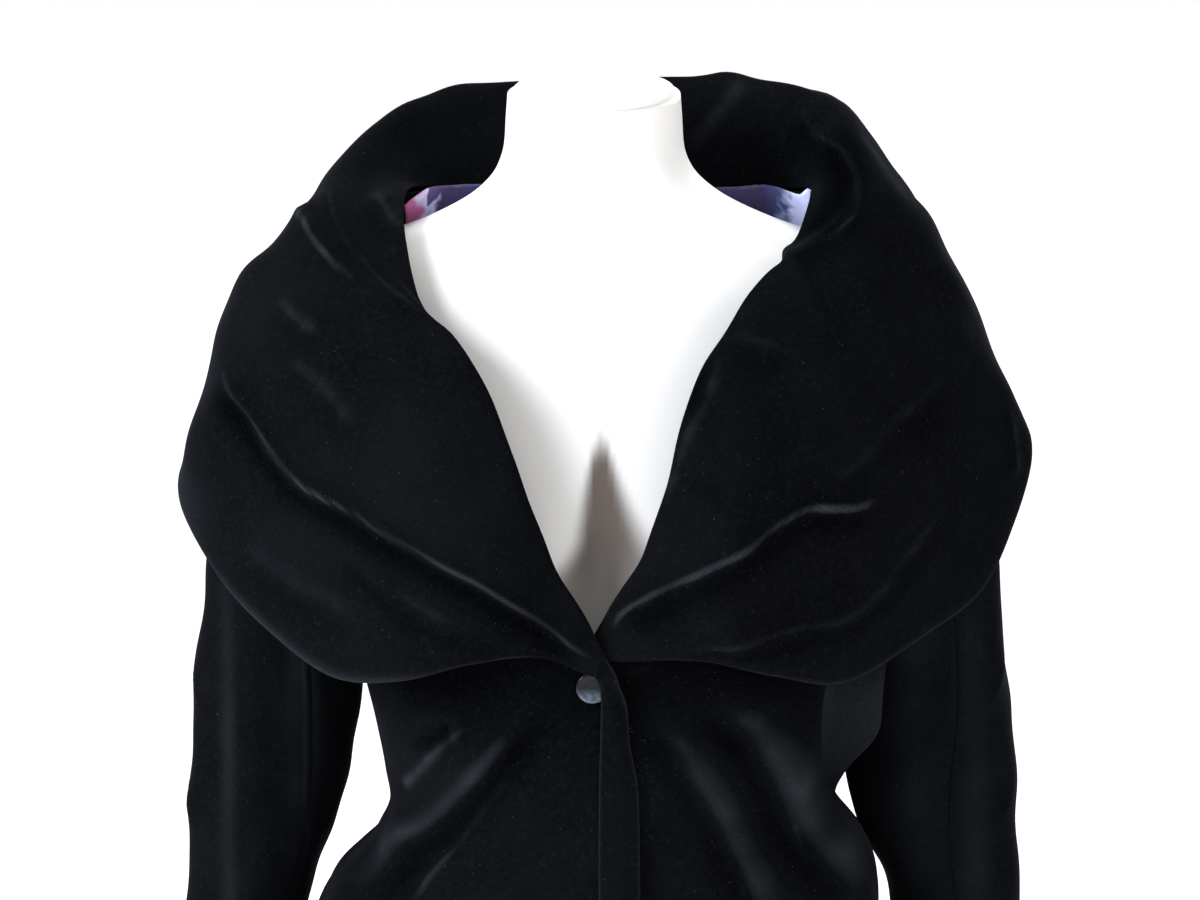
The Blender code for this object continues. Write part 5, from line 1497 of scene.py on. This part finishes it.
class OvercoatStage(bpy.types.PropertyGroup):
    distance: FloatProperty(
        name="Camera distance", description="From the camera to the point it looks at",
        default=2.0, min=0.5, max=10.0, unit="LENGTH",
    )
    elevation: FloatProperty(
        name="Camera elevation", description="How far the camera looks down",
        default=math.radians(9), min=0.0, max=1.2, unit="ROTATION",
    )
    look_height: FloatProperty(
        name="Look height", description="Height of the point that the camera looks at",
        default=1.26, min=0.0, max=2.0, unit="LENGTH",
    )
    lens: FloatProperty(
        name="Lens", description="Focal length in millimetres on a 36 mm sensor",
        default=89.55, min=20.0, max=200.0,
    )
    key: FloatProperty(
        name="Window light", description="Power of the large cool light from the left",
        default=120.0, min=0.0, max=500.0, unit="POWER",
    )
    fill: FloatProperty(
        name="Fill light", description="Power of the soft light from the right",
        default=26.0, min=0.0, max=500.0, unit="POWER",
    )
    top: FloatProperty(
        name="Top light", description="Power of the light above and behind the coat",
        default=60.0, min=0.0, max=500.0, unit="POWER",
    )
    sky: FloatProperty(
        name="Surroundings", description="Brightness of the white surroundings",
        default=0.36, min=0.0, max=5.0,
    )


def velvet_of(context):
    """The one velvet that all the coat's outer pieces share."""
    return shared_material("velvet_pile", velvet_material, context.scene.overcoat_cloth)


class OVERCOAT_OT_collar(bpy.types.Operator):
    """Builds the shawl collar with its creases and its turned outer edge"""

    bl_idname = "overcoat.collar"
    bl_label = "Shawl Collar"

    def execute(self, context):
        cloth = context.scene.overcoat_cloth
        grid, u, v, nap = collar_grid(*COLLAR_POINTS, cloth.creases, cloth.ripples)
        share = np.abs(u / u[-1] * 2 - 1)[:, None]
        thin_ends = 1 - 0.5 * ease(share, 0.88, 0.96)
        depth = COLLAR_CLOTH * thin_ends * np.interp(v, [0, 0.6, 1.2, 2], [0.45, 0.7, 0.7, 1])
        obj = cloth_wall("velvet_collar", grid, depth, velvet_of(context), -1, nap=nap)
        finish_cloth(obj, "velvet", "shawl_collar", "folded", "form_torso", "back")
        return {"FINISHED"}


class OVERCOAT_OT_fronts(bpy.types.Operator):
    """Builds both fronts with the creases that run down from the button"""

    bl_idname = "overcoat.fronts"
    bl_label = "Fronts"

    def execute(self, context):
        cloth = context.scene.overcoat_cloth
        for side, name in ((-1, "front_right"), (1, "front_left")):
            grid, normals, nap = front_grid(side, FRONT_COLUMNS, cloth.creases, cloth.ripples)
            finish = velvet_of(context)
            obj = cloth_wall(f"velvet_{name}", grid, CLOTH, finish, side, normals, nap)
            finish_cloth(obj, "velvet", name, "hung", "form_torso")
        return {"FINISHED"}


class OVERCOAT_OT_back(bpy.types.Operator):
    """Builds the back with its flares and the pouch under the wearer's left arm"""

    bl_idname = "overcoat.back"
    bl_label = "Back"

    def execute(self, context):
        cloth = context.scene.overcoat_cloth
        grid, normals = back_grid(BACK_COLUMNS, cloth.ripples)
        x, y, z = np.moveaxis(grid, 2, 0)
        # A painted highlight on the pouch under the wearer's left arm.
        pouch_highlight = 0.34 * bell(z - POUCH_LIGHT, 0.045)
        pouch_highlight = pouch_highlight * np.clip((x - 0.095) / 0.02, 0, 1) * np.clip((0.06 - y) / 0.05, 0, 1)
        obj = cloth_wall("velvet_back", grid, CLOTH, velvet_of(context), 1, normals, pouch_highlight)
        finish_cloth(obj, "velvet", "back", "hung", "form_torso")
        return {"FINISHED"}


class OVERCOAT_OT_sleeves(bpy.types.Operator):
    """Builds the two halves of each sleeve, with a dip along their seams"""

    bl_idname = "overcoat.sleeves"
    bl_label = "Sleeves"

    def execute(self, context):
        cloth = context.scene.overcoat_cloth
        for side, name in ((-1, "right"), (1, "left")):
            for upper, half in ((True, "upper"), (False, "under")):
                columns = SLEEVE_COLUMNS[side, upper] * SLEEVE_FINER
                grid, normals = sleeve_grid(side, upper, columns, cloth.creases, cloth.ripples)
                rows = np.linspace(0, 14, len(grid))
                depth = np.interp(rows, [0, 1, 3], [0.0006, 0.0010, CLOTH])[:, None]
                piece, finish = f"sleeve_{name}_{half}", velvet_of(context)
                # The sleeve's painted highlights and shade, fading out toward its back.
                nap = crease_marks(SLEEVE_PAINTED_LIGHT[name], grid[..., 0], grid[..., 2])[1]
                nap = nap * (1 - ease(grid[..., 1], -0.03, 0.0))
                obj = cloth_wall(f"velvet_{piece}", grid, depth, finish, side, normals, nap)
                carriers = f"velvet_front_{name}", "velvet_back"
                finish_cloth(obj, "velvet", piece, "hung", *carriers)
        return {"FINISHED"}


class OVERCOAT_OT_front_band(bpy.types.Operator):
    """Builds the rolled strip down the right front's edge"""

    bl_idname = "overcoat.front_band"
    bl_label = "Front Band"

    def execute(self, context):
        grid = band_grid(*BAND_POINTS)
        # A painted highlight along the band's edges.
        nap = 0.30 * bell(border_distance(grid), 0.0011)
        obj = cloth_wall("velvet_front_band", grid, CLOTH, velvet_of(context), -1, nap=nap)
        finish_cloth(obj, "velvet", "front_band", "folded", "velvet_front_right")
        return {"FINISHED"}


class OVERCOAT_OT_lining(bpy.types.Operator):
    """Builds the satin that shows inside the back of the neck"""

    bl_idname = "overcoat.neck_lining"
    bl_label = "Neck Lining"

    def execute(self, context):
        finish = shared_material("lining_satin", lining_material, context.scene.overcoat_lining)
        obj = cloth_wall("satin_neck_lining", lining_grid(*LINING_POINTS), LINING_THICK, finish)
        finish_cloth(obj, "lining", "neck_lining", "laid", "velvet_back")
        return {"FINISHED"}


class OVERCOAT_OT_button(bpy.types.Operator):
    """Builds the polished button with its rim and dished face"""

    bl_idname = "overcoat.button"
    bl_label = "Button"

    def execute(self, context):
        radius = context.scene.overcoat_form.button_radius
        x, z = BUTTON_PLACE
        foot = front_surface(np.array(x), np.array(z), lap_offset(z) + BUTTON_GAP)
        turn = np.linspace(-math.pi / 2, math.pi / 2, 12)
        rim = BUTTON_THICK / 2
        edge = np.stack([radius - rim + rim * np.cos(turn), rim + rim * np.sin(turn)], axis=1)
        inward = np.linspace(radius - 1.6 * rim, 0.0, 14)
        dish = BUTTON_THICK - 0.0007 * ease((radius - inward) / radius, 0.16, 0.42)
        face = np.stack([inward, dish], axis=1)
        profile = np.concatenate([[(0.0, 0.0)], edge, face])
        finish = shared_material("button_shell", button_material)
        obj = turned_shape("shell_button", profile, foot, (0, -1, -0.13), finish)
        finish_piece(obj, "button_gloss", "button")
        return {"FINISHED"}


class OVERCOAT_OT_form(bpy.types.Operator):
    """Builds the dress form's torso and finishes its cap, pole and base"""

    bl_idname = "overcoat.dress_form"
    bl_label = "Dress Form"

    def execute(self, context):
        settings = context.scene.overcoat_form
        rings = form_grid(FORM_COLUMNS)
        middle = rings.mean(axis=1, keepdims=True)
        rings = np.concatenate([
            np.repeat(middle[:1], rings.shape[1], axis=1), rings,
            np.repeat(middle[-1:], rings.shape[1], axis=1),
        ])
        shell = shared_material("form_shell_skin", form_material, settings)
        obj = ring_mesh("shell_torso", rings, shell)
        # The painted shade in the form's hollow is kept for the material.
        keep_values(obj, "hollow", painted_hollow_shade(rings))
        close_poles(obj)
        finish_piece(obj, "form_shell", "form_torso")
        steel = shared_material("stand_steel", metal_material)
        for node, finish in (("form_neck_cap", shell), ("form_pole", steel), ("form_base", steel)):
            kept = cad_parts[node]
            kept.data.materials.clear()
            kept.data.materials.append(finish)
        return {"FINISHED"}


class OVERCOAT_OT_stage(bpy.types.Operator):
    """Sets up the pale floor, the soft lights and the camera"""

    bl_idname = "overcoat.stage"
    bl_label = "Stage"

    def execute(self, context):
        settings = context.scene.overcoat_stage
        pale_floor()
        for name, power, place, size, colour in LIGHTS:
            add_light(name, place, size, getattr(settings, power), colour)
        world = bpy.data.worlds.new("surroundings")
        world.use_nodes = True
        background = world.node_tree.nodes["Background"]
        background.inputs["Color"].default_value = (1.0, 1.0, 1.0, 1.0)
        seen = world.node_tree.nodes.new("ShaderNodeLightPath")
        strength = world.node_tree.nodes.new("ShaderNodeMix")
        strength.inputs["A"].default_value = settings.sky
        strength.inputs["B"].default_value = 1.0
        world.node_tree.links.new(seen.outputs["Is Camera Ray"], strength.inputs["Factor"])
        world.node_tree.links.new(strength.outputs["Result"], background.inputs["Strength"])
        context.scene.world = world
        camera = bpy.data.objects.new("camera", bpy.data.cameras.new("camera"))
        context.scene.collection.objects.link(camera)
        camera.data.lens = settings.lens
        camera.data.sensor_width = 36.0
        look_at = Vector((0.0, 0.0, settings.look_height))
        away = Vector((0.0, -math.cos(settings.elevation), math.sin(settings.elevation)))
        camera.location = look_at + away * settings.distance
        camera.rotation_euler = (-away).to_track_quat("-Z", "Y").to_euler()
        context.scene.camera = camera
        context.scene.view_settings.view_transform = "Standard"
        return {"FINISHED"}


def pale_floor():
    """A wide flat floor, shining a little, so that it and the surroundings blend."""
    corners = ((-1, -1), (1, -1), (1, 1), (-1, 1))
    points = np.array([(x * FLOOR_REACH, y * FLOOR_REACH, FLOOR_LEVEL) for x, y in corners])
    made, shader, place = material_base("pale_floor", 0.9)
    tone = add_ramp(made, add_noise(made, place, 3.0), (0.3, (0.86, 0.86, 0.86)),
                    (0.7, (0.88, 0.88, 0.88)))
    link(made, tone, shader.inputs["Base Color"])
    shader.inputs["Emission Color"].default_value = (1.0, 1.0, 1.0, 1.0)
    shader.inputs["Emission Strength"].default_value = 0.85
    return make_mesh("pale_floor", points, np.arange(4).reshape(1, 4), made)


def add_light(name, place, size, power, colour):
    """A square soft light that looks at the middle of the coat."""
    light = bpy.data.lights.new(name, "AREA")
    light.energy = power
    light.size = size
    light.color = colour
    obj = bpy.data.objects.new(name, light)
    obj.location = place
    toward = Vector(LIGHTS_AIM) - Vector(place)
    obj.rotation_euler = toward.to_track_quat("-Z", "Y").to_euler()
    bpy.context.scene.collection.objects.link(obj)


class OVERCOAT_PT_panel(bpy.types.Panel):
    """Lists the coat's pieces and their settings"""

    bl_label = "Overcoat"
    bl_idname = "OVERCOAT_PT_panel"
    bl_space_type = "VIEW_3D"
    bl_region_type = "UI"
    bl_category = "Overcoat"

    def draw(self, context):
        for group in GROUPS:
            box = self.layout.box()
            settings = getattr(context.scene, group)
            for name in settings.__annotations__:
                box.prop(settings, name)
        for operator in OPERATORS:
            self.layout.operator(operator.bl_idname)


GROUPS = {
    "overcoat_cloth": OvercoatCloth,
    "overcoat_lining": OvercoatLining,
    "overcoat_form": OvercoatForm,
    "overcoat_stage": OvercoatStage,
}
OPERATORS = (
    OVERCOAT_OT_fronts,
    OVERCOAT_OT_back,
    OVERCOAT_OT_sleeves,
    OVERCOAT_OT_collar,
    OVERCOAT_OT_front_band,
    OVERCOAT_OT_lining,
    OVERCOAT_OT_button,
    OVERCOAT_OT_form,
    OVERCOAT_OT_stage,
)


def register():
    for made in (*GROUPS.values(), *OPERATORS, OVERCOAT_PT_panel):
        bpy.utils.register_class(made)
    for name, group in GROUPS.items():
        setattr(bpy.types.Scene, name, PointerProperty(type=group))


def unregister():
    for name in GROUPS:
        delattr(bpy.types.Scene, name)
    for made in (OVERCOAT_PT_panel, *reversed(OPERATORS), *reversed(GROUPS.values())):
        bpy.utils.unregister_class(made)


def main():
    register()
    for operator in OPERATORS:
        group, name = operator.bl_idname.split(".")
        getattr(getattr(bpy.ops, group), name)()


if __name__ == "__main__":
    main()
